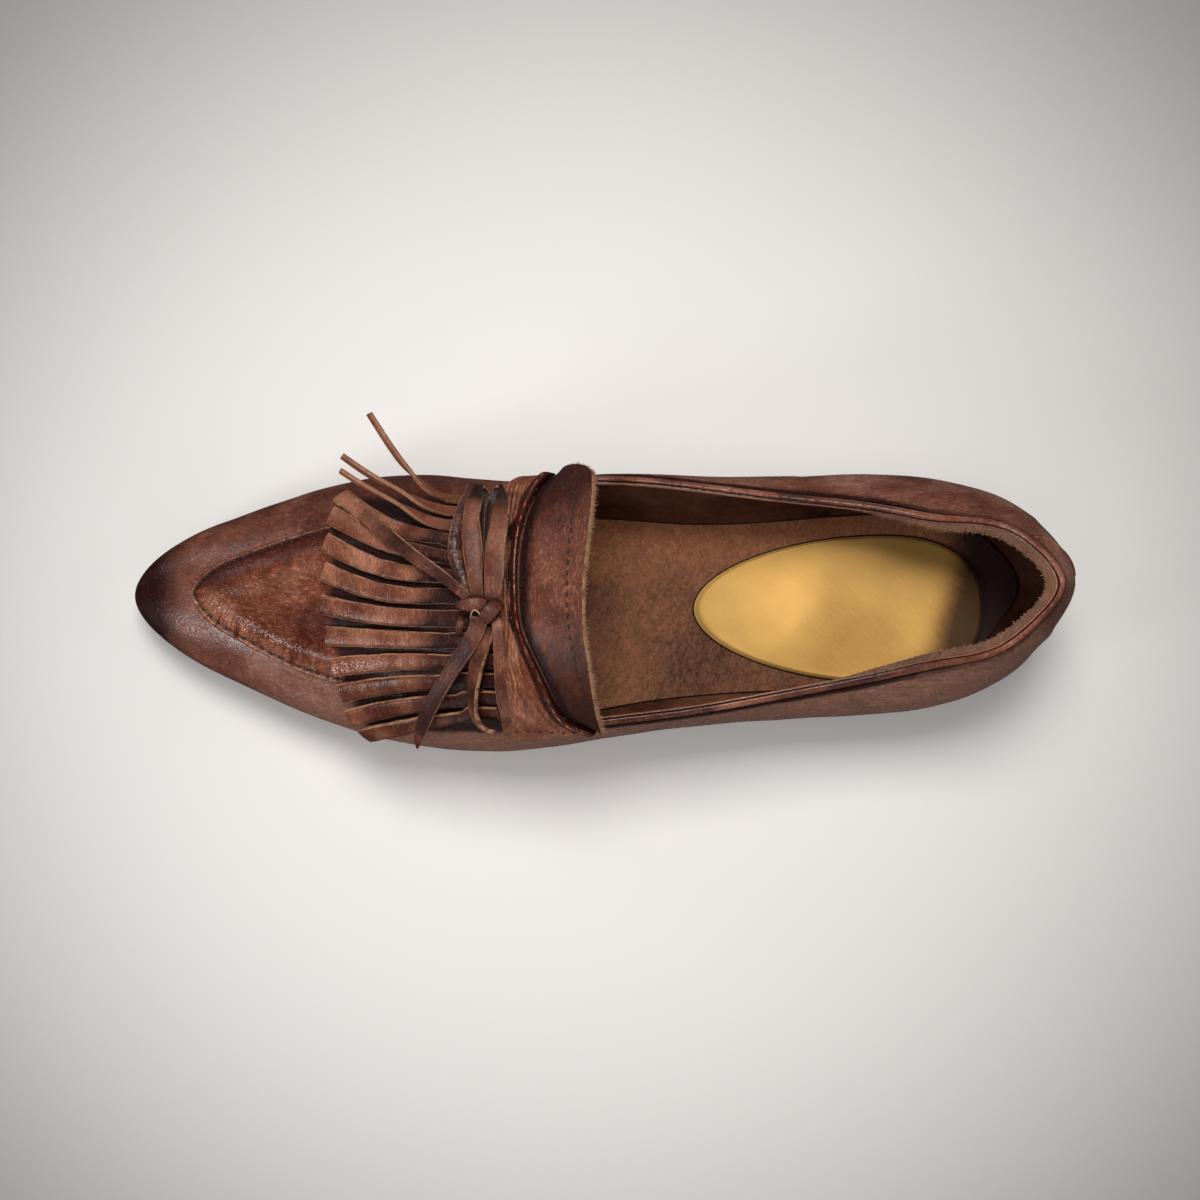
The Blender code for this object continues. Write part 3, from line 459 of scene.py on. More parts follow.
def stitch_tubes(path, normal, pitch, length, radius, sink):
    """Short threads along a path of points: rounded tubes of that length at each pitch, sunk into the
    leather at both ends."""
    run = run_along(path)
    middles = np.arange(pitch / 2, run[-1] - pitch / 4, pitch)
    share = np.linspace(-1, 1, 7)
    turn = np.linspace(0, 2 * np.pi, 7)[:-1]
    tubes = []
    for middle in middles:
        place = middle + share * length / 2
        centre = interpolate(place, run, path)
        out = unit(interpolate(place, run, normal))
        along = unit(np.gradient(centre, axis=0))
        side = unit(np.cross(out, along))
        size = radius * np.sqrt(np.clip(1.02 - share**2, 0.02, 1))[:, None, None]
        centre = centre - out * (sink * share**2)[:, None]
        tubes.append(centre[:, None] + spokes(side, out, turn) * size)
    return tubes


def make_fuzz(name, path, heading, count, length, finish, seed):
    """Loose fibres along a path: thin three-sided spikes that lean about one heading, or one per point."""
    draw = np.random.default_rng(seed)
    place = draw.uniform(0, len(path) - 1, count)
    row = np.arange(len(path))
    root = interpolate(place, row, path)
    lean = interpolate(place, row, np.broadcast_to(heading, path.shape))
    lean = unit(unit(lean) + draw.normal(0, 0.45, (count, 3)))
    root = root + draw.normal(0, 0.22, (count, 3)) - lean * 0.3
    tip = root + lean * length * draw.uniform(0.4, 1.3, (count, 1))
    side = unit(np.cross(lean, [0.0, 0.0, 1.0])) * 0.09
    up = unit(np.cross(side, lean)) * 0.09
    points = np.stack([root + side, root - side * 0.5 + up, root - side * 0.5 - up, tip], 1).reshape(-1, 3)
    corner = np.array([(0, 1, 2), (0, 3, 1), (1, 3, 2), (2, 3, 0)])
    faces = (np.arange(count)[:, None, None] * 4 + corner).reshape(-1, 3).tolist()
    return make_piece(name, points, faces, finish)


def seat(plan, surface, normal):
    """Points of a surface under plan places, and its normals there, from the nearest four grid points
    weighted by one over their distance."""
    surface = surface.reshape(-1, 3)
    normal = normal.reshape(-1, 3)
    gap = np.linalg.norm(plan[:, None] - surface[None, :, :2], axis=-1)
    near = np.argsort(gap, axis=1)[:, :4]
    weight = 1 / (np.take_along_axis(gap, near, 1) + 1e-3)
    weight = (weight / weight.sum(1, keepdims=True))[..., None]
    return (surface[near] * weight).sum(1), unit((normal[near] * weight).sum(1))


def grid_normals(grid):
    """Unit normals of a grid of points, turned upwards."""
    normal = unit(np.cross(np.gradient(grid, axis=0), np.gradient(grid, axis=1)))
    return normal * np.where(normal[..., 2:] < 0, -1, 1)


# Finishes


class Wire:
    """A value in a finish. Sums and products of wires and numbers add Math nodes."""

    def __init__(self, paint, socket):
        self.paint = paint
        self.socket = socket

    def __add__(self, other):
        return self.paint.math("ADD", self, other)

    __radd__ = __add__

    def __sub__(self, other):
        return self.paint.math("SUBTRACT", self, other)

    def __rsub__(self, other):
        return self.paint.math("SUBTRACT", other, self)

    def __mul__(self, other):
        return self.paint.math("MULTIPLY", self, other)

    __rmul__ = __mul__

    def __pow__(self, other):
        return self.paint.math("POWER", self, other)


class Paint:
    """The nodes of one finish."""

    def __init__(self, name):
        self.material = bpy.data.materials.new(name)
        self.material.use_nodes = True
        self.tree = self.material.node_tree
        self.shader = self.tree.nodes["Principled BSDF"]

    def node(self, kind, settings=None, values=None, output=0):
        """A node of any kind: its settings are set first, then its sockets get values or links."""
        made = self.tree.nodes.new(kind)
        for key, value in (settings or {}).items():
            if key == "stops":
                self.set_stops(made.color_ramp, value)
            else:
                setattr(made, key, value)
        for key, value in (values or {}).items():
            self.feed(made.inputs[key], value)
        return Wire(self, made.outputs[output])

    def feed(self, socket, value):
        if isinstance(value, Wire):
            self.tree.links.new(value.socket, socket)
        elif isinstance(value, tuple) and len(value) == 3 and socket.type == "RGBA":
            socket.default_value = (*value, 1)
        else:
            socket.default_value = value

    @staticmethod
    def set_stops(ramp, stops):
        while len(ramp.elements) < len(stops):
            ramp.elements.new(0.5)
        for element, (place, colour) in zip(ramp.elements, stops):
            element.position = place
            element.color = (*colour, 1)

    def math(self, operation, a, b=0.0):
        return self.node("ShaderNodeMath", {"operation": operation}, {0: a, 1: b})

    def millimetres(self, stretch=(1, 1, 1), turn=0.0):
        """Object coordinates in millimetres, stretched and turned about Z."""
        place = self.node("ShaderNodeTexCoord", output=3)
        scale = tuple(s / MM for s in stretch)
        turned = self.node(
            "ShaderNodeMapping", {"vector_type": "POINT"}, {"Vector": place, "Rotation": (0, 0, turn)}
        )
        return self.node("ShaderNodeVectorMath", {"operation": "MULTIPLY"}, {0: turned, 1: scale})

    def mark(self, name):
        return self.node("ShaderNodeAttribute", {"attribute_name": name}, output=2)

    def noise(self, place, scale, detail=3.0, rough=0.55, warp=0.0):
        return self.node(
            "ShaderNodeTexNoise",
            None,
            {"Vector": place, "Scale": scale, "Detail": detail, "Roughness": rough, "Distortion": warp},
        )

    def cells(self, place, scale, feature="F1"):
        return self.node("ShaderNodeTexVoronoi", {"feature": feature}, {"Vector": place, "Scale": scale})

    def rise(self, value, low, high):
        """0 below low and 1 above high with a soft S between, or falling where low is above high."""
        return self.node(
            "ShaderNodeMapRange",
            {"interpolation_type": "SMOOTHSTEP"},
            {"Value": value, "From Min": low, "From Max": high},
        )

    def ramp(self, value, stops):
        return self.node("ShaderNodeValToRGB", {"stops": stops}, {"Fac": value})

    def mix(self, share, a, b):
        return self.node("ShaderNodeMix", {"data_type": "RGBA"}, {0: share, 6: a, 7: b}, 2)

    def vector(self, x, y, z=0.0):
        return self.node("ShaderNodeCombineXYZ", None, {0: x, 1: y, 2: z})

    def bump(self, height, depth, strength=1.0):
        values = {"Height": height, "Distance": depth * MM, "Strength": strength}
        return self.node("ShaderNodeBump", None, values)

    def finish(self, **values):
        for key, value in values.items():
            self.feed(self.shader.inputs[key.replace("_", " ")], value)
        return self.material


RAW_TAN = (0.40, 0.205, 0.110)
RAW_DARK = (0.13, 0.055, 0.030)
# Dark colour of real stains and of painted shade
DARK_STAIN_AND_SHADE = (0.018, 0.0034, 0.0025)


def leather(
    name, deep, middle, pale, roughness=0.26, grain=0.06, lines=0.5, turn=0.0, gathers=0.0, specular=0.36
):
    """Burnished leather: tones drift over wide blotches, fine wrinkle lines that run with turn and a pebble
    grain break the gloss, stains and painted shade darken marked places and cut edges show the tan core."""
    paint = Paint(name)
    place = paint.millimetres()
    wide = paint.noise(place, 0.05, 3, 0.55, 0.5)
    small = paint.noise(place, 0.30, 4, 0.6, 0.8)
    fine = paint.noise(place, 2.2, 2, 0.6)
    line = paint.noise(paint.millimetres((0.34, 1.1, 1.1), turn), 0.80, 1.0, 0.5, 1.5)
    off_line = paint.math("ABSOLUTE", line - 0.5)
    ridge = paint.rise(off_line, 0.060, 0.015)
    pebble = paint.cells(place, 1.5, "SMOOTH_F1")
    # The marked tone is the piece's own colour on most pieces, and painted light on the upper's walls and
    # the saddle.
    tone = wide * 0.80 + small * 0.24 + fine * 0.25 + paint.mark("tone") * 0.25 - 0.145
    colour = paint.ramp(tone, [(0.34, deep), (0.50, middle), (0.68, pale)])
    valley = paint.rise(off_line, 0.08, 0.26)
    share = (ridge * 0.95 - valley * 0.35) * lines + 0.95
    colour = paint.node("ShaderNodeVectorMath", {"operation": "SCALE"}, {0: colour, "Scale": share})
    stain = paint.mark("stain")
    if gathers:
        fold = paint.vector(paint.mark("seam_run"), paint.mark("seam_in") * 0.13)
        pucker = paint.noise(fold, 0.55, 3, 0.55, 0.35)
        near = paint.rise(paint.mark("seam_in"), 13.0, 1.5)
        colour = paint.mix(paint.rise(pucker, 0.52, 0.36) * near * 0.8, colour, deep)
    dark_share = paint.rise(stain + small * 0.5 + fine * 0.2, 0.50, 1.25)
    colour = paint.mix(dark_share, colour, DARK_STAIN_AND_SHADE)
    at_seam = paint.rise(paint.mark("seam_near"), 0.2, 0.75)
    colour = paint.mix(at_seam * 0.9, colour, DARK_STAIN_AND_SHADE)
    raw = paint.mark("raw")
    core = paint.mix(paint.rise(small, 0.42, 0.66), RAW_TAN, RAW_DARK)
    colour = paint.mix(raw, colour, core)
    glossy = paint.mark("gloss")
    shine = paint.math("MAXIMUM", glossy, 0.0)
    height = small * 0.10 + ridge * lines * (1.0 - shine) * 0.22 - pebble * (shine * 0.16 + grain)
    if gathers:
        height = height + pucker * near * gathers
    normal = paint.bump(height - at_seam * 0.6, 0.55)
    gloss = roughness + (small - 0.5) * 0.16 + raw * 0.4 - glossy * 0.14
    return paint.finish(
        Base_Color=colour, Roughness=gloss, Normal=normal, IOR=1.45, Specular_IOR_Level=specular
    )


def suede(name, deep, pale, nap=0.5, scale=1.0):
    """Brushed leather: short fibres that lie this way and that, paler hairs, darker pores, and shade where
    it is marked."""
    paint = Paint(name)
    place = paint.millimetres()
    wide = paint.noise(place, 0.06 * scale, 3, 0.6, 0.5)
    fibre = paint.noise(paint.millimetres((1.0, 0.4, 1.0), 0.62), 0.85 * scale, 3, 0.65, 1.2)
    hair = paint.noise(paint.millimetres((1.0, 0.5, 1.0), -0.5), 0.55 * scale, 2, 0.6, 1.6)
    streak = paint.rise(paint.math("ABSOLUTE", hair - 0.5), 0.06, 0.0)
    pore = paint.rise(paint.cells(place, 0.7 * scale), 0.26, 0.06)
    # The marked tone is painted light on the sock.
    tone = wide * 0.48 + fibre * 0.66 + paint.mark("tone") * 0.3 - 0.27
    colour = paint.ramp(tone, [(0.14, deep), (0.47, pale), (1.0, tuple(c * 2.3 for c in pale))])
    colour = paint.mix(streak * 0.5, colour, pale)
    colour = paint.mix(pore * 0.5, colour, deep)
    shade = paint.rise(paint.mark("stain"), 0.0, 1.0)
    colour = paint.mix(shade, colour, DARK_STAIN_AND_SHADE)
    height = fibre * 0.5 + streak * 0.3 - pore * 0.35
    return paint.finish(
        Base_Color=colour,
        Roughness=0.88,
        Normal=paint.bump(height, nap, 0.9),
        Sheen_Weight=0.03,
        Sheen_Roughness=0.5,
    )


def gold_foil(name):
    """Gold foil on board: brushed fine, with shallow buckles, a near-black edge as painted shade and a
    marked tone that is painted light.
    """
    paint = Paint(name)
    place = paint.millimetres()
    wide = paint.noise(place, 0.035, 2, 0.5)
    brushed = paint.noise(paint.millimetres((0.12, 1.0, 1.0), 0.75), 2.4, 3, 0.6)
    speck = paint.noise(place, 1.6, 3, 0.6)
    # The marked tone holds painted shadow, painted reflections and painted light.
    colour = paint.ramp(
        wide * 0.5 + brushed * 0.2 + speck * 0.1 + paint.mark("tone") * 0.5 - 0.15,
        [
            (0.0, (0.07, 0.032, 0.008)), (0.14, (0.20, 0.095, 0.026)),
            (0.42, (0.52, 0.285, 0.070)), (0.75, (0.80, 0.475, 0.135)),
        ],
    )
    # The rim faces are near black as painted shade at the pad's edge.
    edge = paint.mark("raw")
    colour = paint.mix(edge, colour, (0.012, 0.006, 0.004))
    height = wide * 0.9 + brushed * 0.012 + speck * 0.01
    return paint.finish(
        Base_Color=colour,
        Metallic=0.6 - edge * 0.6,
        Roughness=0.54 + (brushed - 0.5) * 0.12 + edge * 0.4,
        Normal=paint.bump(height, 1.2, 0.6),
    )


def rubber(name, deep, pale):
    """Moulded sole: dull, with a fine pebble and rubbed spots."""
    paint = Paint(name)
    place = paint.millimetres()
    wear = paint.noise(place, 0.08, 4, 0.65, 0.6)
    pebble = paint.cells(place, 1.4, "SMOOTH_F1")
    colour = paint.ramp(wear, [(0.35, deep), (0.72, pale)])
    return paint.finish(
        Base_Color=colour,
        Roughness=0.55 + (wear - 0.5) * 0.3,
        Normal=paint.bump(pebble * 0.6 + wear * 0.4, 0.18, 0.8),
    )


def thread(name, colour):
    """Waxed thread: twisted plies along it as a fine bump."""
    paint = Paint(name)
    ply = paint.noise(paint.millimetres((1, 1, 1), 0.8), 4.0, 2)
    shade = paint.mix(ply, colour, tuple(c * 0.5 for c in colour))
    return paint.finish(Base_Color=shade, Roughness=0.6, Normal=paint.bump(ply, 0.1, 0.6))


def make_finishes():
    """Every finish of the shoe by name. A leather is given its deep, middle and pale tone."""
    across = math.pi / 2
    return {
        "upper": leather(
            "upper_brown", (0.070, 0.019, 0.011), (0.140, 0.047, 0.028), (0.222, 0.104, 0.070), lines=0.6
        ),
        "apron": leather(
            "apron_brown", (0.066, 0.013, 0.007), (0.148, 0.043, 0.022), (0.265, 0.104, 0.061),
            grain=0.08, lines=1.0, turn=0.25, gathers=0.7,
        ),
        "saddle": leather(
            "saddle_dark", (0.045, 0.009, 0.005), (0.160, 0.046, 0.022), (0.290, 0.112, 0.062),
            lines=0.7, turn=across,
        ),
        "tongue": leather(
            "tongue_brown", (0.052, 0.013, 0.007), (0.118, 0.035, 0.019), (0.215, 0.083, 0.049),
            roughness=0.42, lines=1.0, turn=across,
        ),
        "binding": leather(
            "binding_brown", (0.055, 0.014, 0.008), (0.185, 0.060, 0.034), (0.330, 0.140, 0.086),
            roughness=0.24, turn=across,
        ),
        "fringe": leather(
            "fringe_brown", (0.070, 0.017, 0.009), (0.172, 0.056, 0.029), (0.300, 0.124, 0.072),
            roughness=0.30, grain=0.10, lines=0.6, turn=across,
        ),
        "bow": leather(
            "bow_dark", (0.038, 0.008, 0.005), (0.118, 0.035, 0.019), (0.215, 0.082, 0.048),
            roughness=0.42, grain=0.10, lines=0.7, turn=across,
        ),
        "lining": leather(
            "lining_brown", (0.060, 0.020, 0.011), (0.140, 0.057, 0.031), (0.200, 0.088, 0.051),
            roughness=0.6, grain=0.03, lines=0.3, specular=0.12,
        ),
        "sock": suede("sock_suede", (0.052, 0.017, 0.008), (0.280, 0.110, 0.052)),
        "edge": suede("edge_suede", (0.07, 0.028, 0.015), (0.23, 0.105, 0.058), 0.5, 1.6),
        "fibre": suede("edge_fibre", (0.26, 0.135, 0.075), (0.52, 0.290, 0.170), 0.1, 1.6),
        "gold": gold_foil("gold_foil"),
        "rubber": rubber("sole_rubber", (0.020, 0.010, 0.007), (0.050, 0.026, 0.018)),
        "thread": thread("dark_thread", (0.014, 0.007, 0.005)),
    }


# Upper


def front_columns(start_x, count):
    """Pairs of columns, lateral and medial, from start_x to the toe tip, that meet along the ridge."""
    lateral = np.linspace(column_at(start_x, False), TIP, count)
    lean = np.interp(lateral, SEARCH[LATERAL_FRONT], SEARCH_LEAN[LATERAL_FRONT])
    medial = column_at(lean, True)
    medial[-1] = TIP
    return lateral, medial


def spread(start, stop, count):
    """Rows from start to stop, each of which may differ from column to column."""
    share = np.linspace(0, 1, count + 1)[1:]
    start, stop = np.broadcast_arrays(np.asarray(start, float), np.asarray(stop, float))
    return start[:, None] + (stop - start)[:, None] * share


def wall_rows(column, top, foot_count, wall_count):
    """Girths from the sole edge through the widest line to top."""
    foot = np.broadcast_to(np.linspace(-1, 0, foot_count + 1), (len(column), foot_count + 1))
    return np.concatenate([foot, spread(np.zeros(len(column)), top, wall_count)], 1)


def upper_grid(front, rear_count, foot, wall, crown):
    """Columns, girths and quads of the whole upper: two front sides that meet on the ridge, and the rear.
    The counts are of columns in front and behind, and of rows below, up and over the wall."""
    toe_shoulder = 0.45
    lateral, medial = front_columns(THROAT_X, front + 1)
    columns, girths, quads = [], [], []
    for side in (lateral, medial):
        collar = section(side[:1])["collar"][0]
        shoulder = np.linspace(collar, toe_shoulder, len(side))
        rows = np.concatenate([wall_rows(side, shoulder, foot, wall), spread(shoulder, 1.0, crown)], 1)
        columns.append(np.broadcast_to(side[:, None], rows.shape))
        girths.append(rows)
    rear = np.linspace(lateral[0], medial[0] - ROUND, rear_count + 1)
    rows = wall_rows(rear, section(rear)["collar"], foot, wall)
    columns.append(np.broadcast_to(rear[:, None], rows.shape))
    girths.append(rows)
    start = 0
    for flip, rows in zip((False, True, True), girths):
        faces = grid_quads(*rows.shape, start)
        quads.append(faces[:, ::-1] if flip else faces)
        start += rows.size
    column = np.concatenate([c.ravel() for c in columns])
    girth = np.concatenate([g.ravel() for g in girths])
    return column, girth, np.concatenate(quads)


UPPER_COUNTS = (130, 300, 14, 22, 34)
LINING_COUNTS = (60, 150, 8, 10, 16)

# Creases: plan points, height of the ridge (below zero for a trough) and its half width
Crease = namedtuple("Crease", "path rise width")
UPPER_CREASES = [
    Crease([(-19.0, 12.6), (-9.0, 16.4), (5.0, 20.4), (18.0, 24.4)], 0.45, 1.5),
    Crease([(-21.0, 15.5), (-10.0, 19.6), (4.0, 24.0)], -0.25, 1.6),
    Crease([(-15.0, -19.0), (-2.0, -23.4), (14.0, -25.6)], 0.40, 1.5),
    Crease([(58.0, 31.2), (54.5, 33.2), (51.0, 35.6)], -0.22, 0.9),
    Crease([(126.0, -31.0), (121.0, -24.5)], -0.45, 1.0),
    Crease([(128.6, -30.0), (125.0, -22.0)], 0.40, 1.0),
    Crease([(20.0, -29.6), (48.0, -31.5)], -0.22, 1.4),
]
# Heel tab's seam: places along the widest line from the middle of the heel, with shares of the wall up to
# the collar
HEEL_SEAM = [(17.6, 0.97), (14.6, 0.75), (9.9, 0.52), (5.3, 0.23), (2.2, 0.06)]


def heel_seam(shift, grow):
    """Points of the heel tab's seam on the medial wall, moved along the widest line by shift."""
    back, share = through(HEEL_SEAM, 60).T
    column = ROUND - back + shift
    return skin(column, share * section(column)["collar"], grow)


def under_fringe(points):
    """Share of shade under the fringe: full behind the line of its tips and between its outer strips."""
    x, y = points[:, 0], points[:, 1]
    tip_y, tip_x = [s.tip_y for s in STRIPS], [s.tip_x for s in STRIPS]
    front = np.interp(y, tip_y, tip_x)
    shade = smooth_step(front + 1.0, front - 3.0, x) * smooth_step(126.0, 130.0, x)
    shade *= smooth_step(tip_y[0] - 3.0, tip_y[0] + 1.0, y)
    return shade * smooth_step(tip_y[-1] + 2.0, tip_y[-1] - 1.0, y)


def upper_marks(column, girth, points):
    """Stain near the toe tip and the bead, darkening near the sole edge, painted shade under the fringe,
    nearness to the apron's seam, a tone that is painted light, paler on the outer wall and behind and
    darker on the inner vamp wall, and gloss on the toe."""
    x, y = points[:, 0], points[:, 1]
    shaded = under_fringe(points)
    toe = smooth_step(216.0, 242.0, x) * 1.15
    foot = smooth_step(-0.35, -1.0, girth) * 0.45
    collar = section(column)["collar"]
    behind = x < THROAT_X - 1.0
    near = np.linalg.norm(points - skin(column, collar), axis=-1)
    bead = np.where(behind, smooth_step(3.4, 0.3, near) * (0.55 + 0.40 * smooth_step(0.0, 30.0, x)), 0)
    lap = np.linalg.norm(points - skin(column, apron_seam(column)), axis=-1)
    seam = np.where(x > APRON_BACK_X, lap * 1.1, 9.0)
    # Painted shade under the fringe (shaded) joins the stains at the toe tip and the bead and the darkening
    # near the sole edge.
    stain = np.maximum.reduce([toe, foot, bead, shaded * 0.85])
    # Painted light: the outer wall and the heel are paler and the inner vamp wall darker.
    tone = 1.2 * smooth_step(6.0, 22.0, y) * smooth_step(225.0, 170.0, x)
    tone += 0.7 * smooth_step(-16.0, -26.0, x)
    tone -= 0.5 * smooth_step(-4.0, -20.0, y) * smooth_step(120.0, 150.0, x)
    gloss = 0.10 * smooth_step(196.0, 214.0, x) - shaded
    return {"stain": stain, "seam_near": np.clip(1.2 - seam, 0, 1.2), "tone": tone, "gloss": gloss}


def make_upper(finish):
    """Vamp and quarters: the leather outside with its creases and a slow unevenness, the lip and dark line
    of the heel tab's seam, and the lining inside, darkened towards the heel as painted shade."""
    column, girth, quads = upper_grid(*UPPER_COUNTS)
    flat = skin(column, girth)
    x, y, z = flat.T
    relief = np.zeros(len(column))
    for crease in UPPER_CREASES:
        relief += crease.rise * hump(distance_to(flat[:, :2], crease.path), 0, crease.width)
    relief = np.where(girth > -0.4, relief, 0)
    relief += 0.10 * np.sin(x / 9.0 + y / 6.0) * np.sin(x / 5.2 - z / 4.0)
    points = skin(column, girth, relief)
    marks = upper_marks(column, girth, points)
    inside = skin(column, girth, -LEATHER * 0.9)
    lip = round_tube(heel_seam(0.0, 0.1), 0.55)
    tubes_piece("heel_tab_lip", [lip], finish["binding"])
    line = round_tube(heel_seam(-0.8, 0.0), 0.32)
    tubes_piece("heel_tab_line", [line], finish["thread"])
    thick_piece(
        "upper_leather", points, inside, quads, finish["upper"],
        ["upper"], marks, raw_rim=False,
    )
    column, girth, quads = upper_grid(*LINING_COUNTS)
    outer, inner = skin(column, girth, -LEATHER * 0.95), skin(column, girth, -UPPER_THICK)
    # Painted shade: the lining darkens towards the heel.
    marks = {"stain": smooth_step(14.0, -12.0, inner[:, 0]) * 0.60}
    thick_piece(
        "upper_lining", outer, inner, quads, finish["lining"],
        ["upper"], marks, raw_rim=False,
    )


# Apron

Seam = namedtuple("Seam", "from_tip lateral medial")
APRON_SEAM = [
    Seam(0.0, 18.9, 18.9),
    Seam(6.8, 18.1, 17.5),
    Seam(12.6, 16.4, 15.6),
    Seam(19.2, 14.7, 13.8),
    Seam(26.0, 13.6, 12.5),
    Seam(34.0, 13.2, 11.9),
    Seam(48.0, 13.3, 12.3),
    Seam(62.0, 13.4, 12.9),
    Seam(76.0, 14.3, 13.2),
    Seam(95.0, 14.6, 13.6),
    Seam(140.0, 14.0, 13.2),
]
APRON_BACK_X = 137.0
APRON_COLUMNS = 190
APRON_ROWS = 47
APRON_STITCH_IN = 1.15
APRON_STITCH_PITCH = 3.1
# Plan points of the dark band and of the glossy flank along the outer side
APRON_STAIN = [(213.0, -1.0), (203.0, 6.0), (195.0, 12.0), (190.0, 17.0)]
APRON_FLANK = [(220.0, 4.0), (213.0, 8.0), (204.0, 12.0), (192.0, 17.4)]
seam_inset_at = spline([s.from_tip for s in APRON_SEAM], [s[1:] for s in APRON_SEAM])


def apron_seam(column):
    """Girth of the apron's seam, a set distance in from the widest line on each side of the toe tip."""
    s = section(column)
    inset = seam_inset_at(np.abs(column - TIP))
    inset = np.where(column <= TIP, inset[..., 0], inset[..., 1])
    return np.arccos(np.clip(1 - inset / s["reach"], 0, 1) ** (s["full"] / 2)) / (np.pi / 2)


def make_apron(finish):
    """The plug of the moccasin toe: it lies low at its stitches, swells inside them and is gathered
    all round by folds that run in from the seam."""
    columns, girths, inward, along, grows, quads, paths = [], [], [], [], [], [], []
    start = 0
    for medial, side in enumerate(front_columns(APRON_BACK_X, APRON_COLUMNS)):
        seam = apron_seam(side)
        share = np.linspace(0, 1, APRON_ROWS) ** 1.35
        rows = seam[:, None] + (1 - seam)[:, None] * share
        column = np.broadcast_to(side[:, None], rows.shape)
        base = skin(column, rows)
        away = np.linalg.norm(base - base[:, :1], axis=-1)
        run = run_along(base[:, 0])
        run = np.broadcast_to((run[-1] - run)[:, None] * (-1 if medial else 1), rows.shape)
        swell = 1.35 * hump(away, 7.4, 4.0) * (0.7 if medial else 1.0)
        stitch = -0.40 * hump(away, APRON_STITCH_IN, 0.55)
        fold = 0.20 * ripple(run, 2.3, 11) * np.exp(-away / 4.5) * smooth_step(0.6, 2.2, away)
        fold += 0.10 * ripple(run + away * 0.35, 1.5, 12) * hump(away, 4.0, 4.5)
        grow = GAP + 0.62 + 0.5 * smooth_step(0.8, 4.0, away) + swell + stitch + fold
        grows.append(grow)
        columns.append(column)
        girths.append(rows)
        inward.append(away)
        along.append(run)
        stitched = np.argmin(np.abs(away - APRON_STITCH_IN), axis=1)
        paths.append(skin(column, rows, grow + 0.05)[np.arange(len(side)), stitched])
        faces = grid_quads(*rows.shape, start)
        quads.append(faces[:, ::-1] if medial else faces)
        start += rows.size
    both = (columns, girths, grows, inward, along)
    column, girth, grow, away, run = (np.concatenate([half.ravel() for half in halves]) for halves in both)
    points = skin(column, girth, grow)
    shaded = under_fringe(points)
    stain = 0.42 * hump(away, APRON_STITCH_IN, 0.7)
    inner = smooth_step(7.0, -7.0, run)
    stain += smooth_step(9.0, 2.0, away) * (0.15 + 0.15 * inner)
    # Painted shade under the fringe.
    stain += shaded * 0.85
    stain += 0.30 * hump(distance_to(points[:, :2], APRON_STAIN), 0, 2.8)
    gloss = hump(distance_to(points[:, :2], APRON_FLANK), 0, 4.0) - shaded
    tone = 1.6 * smooth_step(0.9, 0.3, away) + (0.5 - 1.5 * inner) * smooth_step(10.0, 2.0, away)
    marks = {"stain": stain, "seam_run": run, "seam_in": away, "gloss": gloss, "tone": tone}
    under = skin(column, girth, GAP * 0.5)
    thick_piece(
        "apron_leather", points, under, np.concatenate(quads), finish["apron"],
        ["apron"], marks,
    )
    path = np.concatenate([paths[0], paths[1][::-1][1:]])
    _, normal = vamp_point(path[:, 0], path[:, 1], np.zeros(len(path)))
    tubes = stitch_tubes(path, normal, APRON_STITCH_PITCH, 1.7, 0.46, 0.34)
    tubes_piece("apron_stitches", tubes, finish["thread"])


# Saddle and tongue

Crossing = namedtuple("Crossing", "across tongue back front")
CROSSINGS = [
    Crossing(-1.0, 104.4, 106.0, 131.0),
    Crossing(-0.85, 105.0, 112.4, 131.0),
    Crossing(-0.6, 106.6, 117.8, 131.4),
    Crossing(-0.3, 108.3, 122.8, 132.2),
    Crossing(-0.1, 109.6, 126.4, 132.5),
    Crossing(0.1, 109.6, 127.4, 132.5),
    Crossing(0.3, 108.2, 127.0, 132.5),
    Crossing(0.6, 107.2, 123.7, 132.0),
    Crossing(0.7, 107.8, 122.2, 131.4),
    Crossing(0.8, 110.4, 120.4, 130.2),
    Crossing(0.9, 114.0, 118.9, 128.4),
    Crossing(1.0, 116.2, 117.5, 126.0),
]
CROSSING_ENDS = (0.35, 0.03)
CROSSING_COLUMNS = 200
CROSSING_ROWS = 44
SADDLE_FOLDS = [
    Crease([(127.0, 26.0), (122.8, 29.0), (120.0, 33.4), (112.0, 40.5)], 0.45, 1.0),
    Crease([(128.6, 33.0), (123.0, 37.0), (116.0, 39.5)], 0.35, 1.1),
    Crease([(130.0, 28.0), (126.6, 34.0), (127.0, 39.0)], -0.30, 1.0),
]
Stitches = namedtuple("Stitches", "pitch length path")
SADDLE_STITCHES = [
    Stitches(4.4, 2.6, [(113.0, 36.6), (117.0, 33.6), (121.0, 28.8), (123.6, 23.0)]),
    Stitches(3.4, 1.5, [(129.6, 39.4), (123.0, 39.6), (115.0, 39.8), (109.0, 39.9)]),
    Stitches(3.0, 1.4, [(121.2, -27.6), (124.6, -21.6), (126.4, -15.0)]),
]
TONGUE_CLEARANCE = 0.6
TONGUE_LIFT = 4.5
TONGUE_END_DROP = 0.55
RAW_BEVEL = 1.1
FIBRES = 900


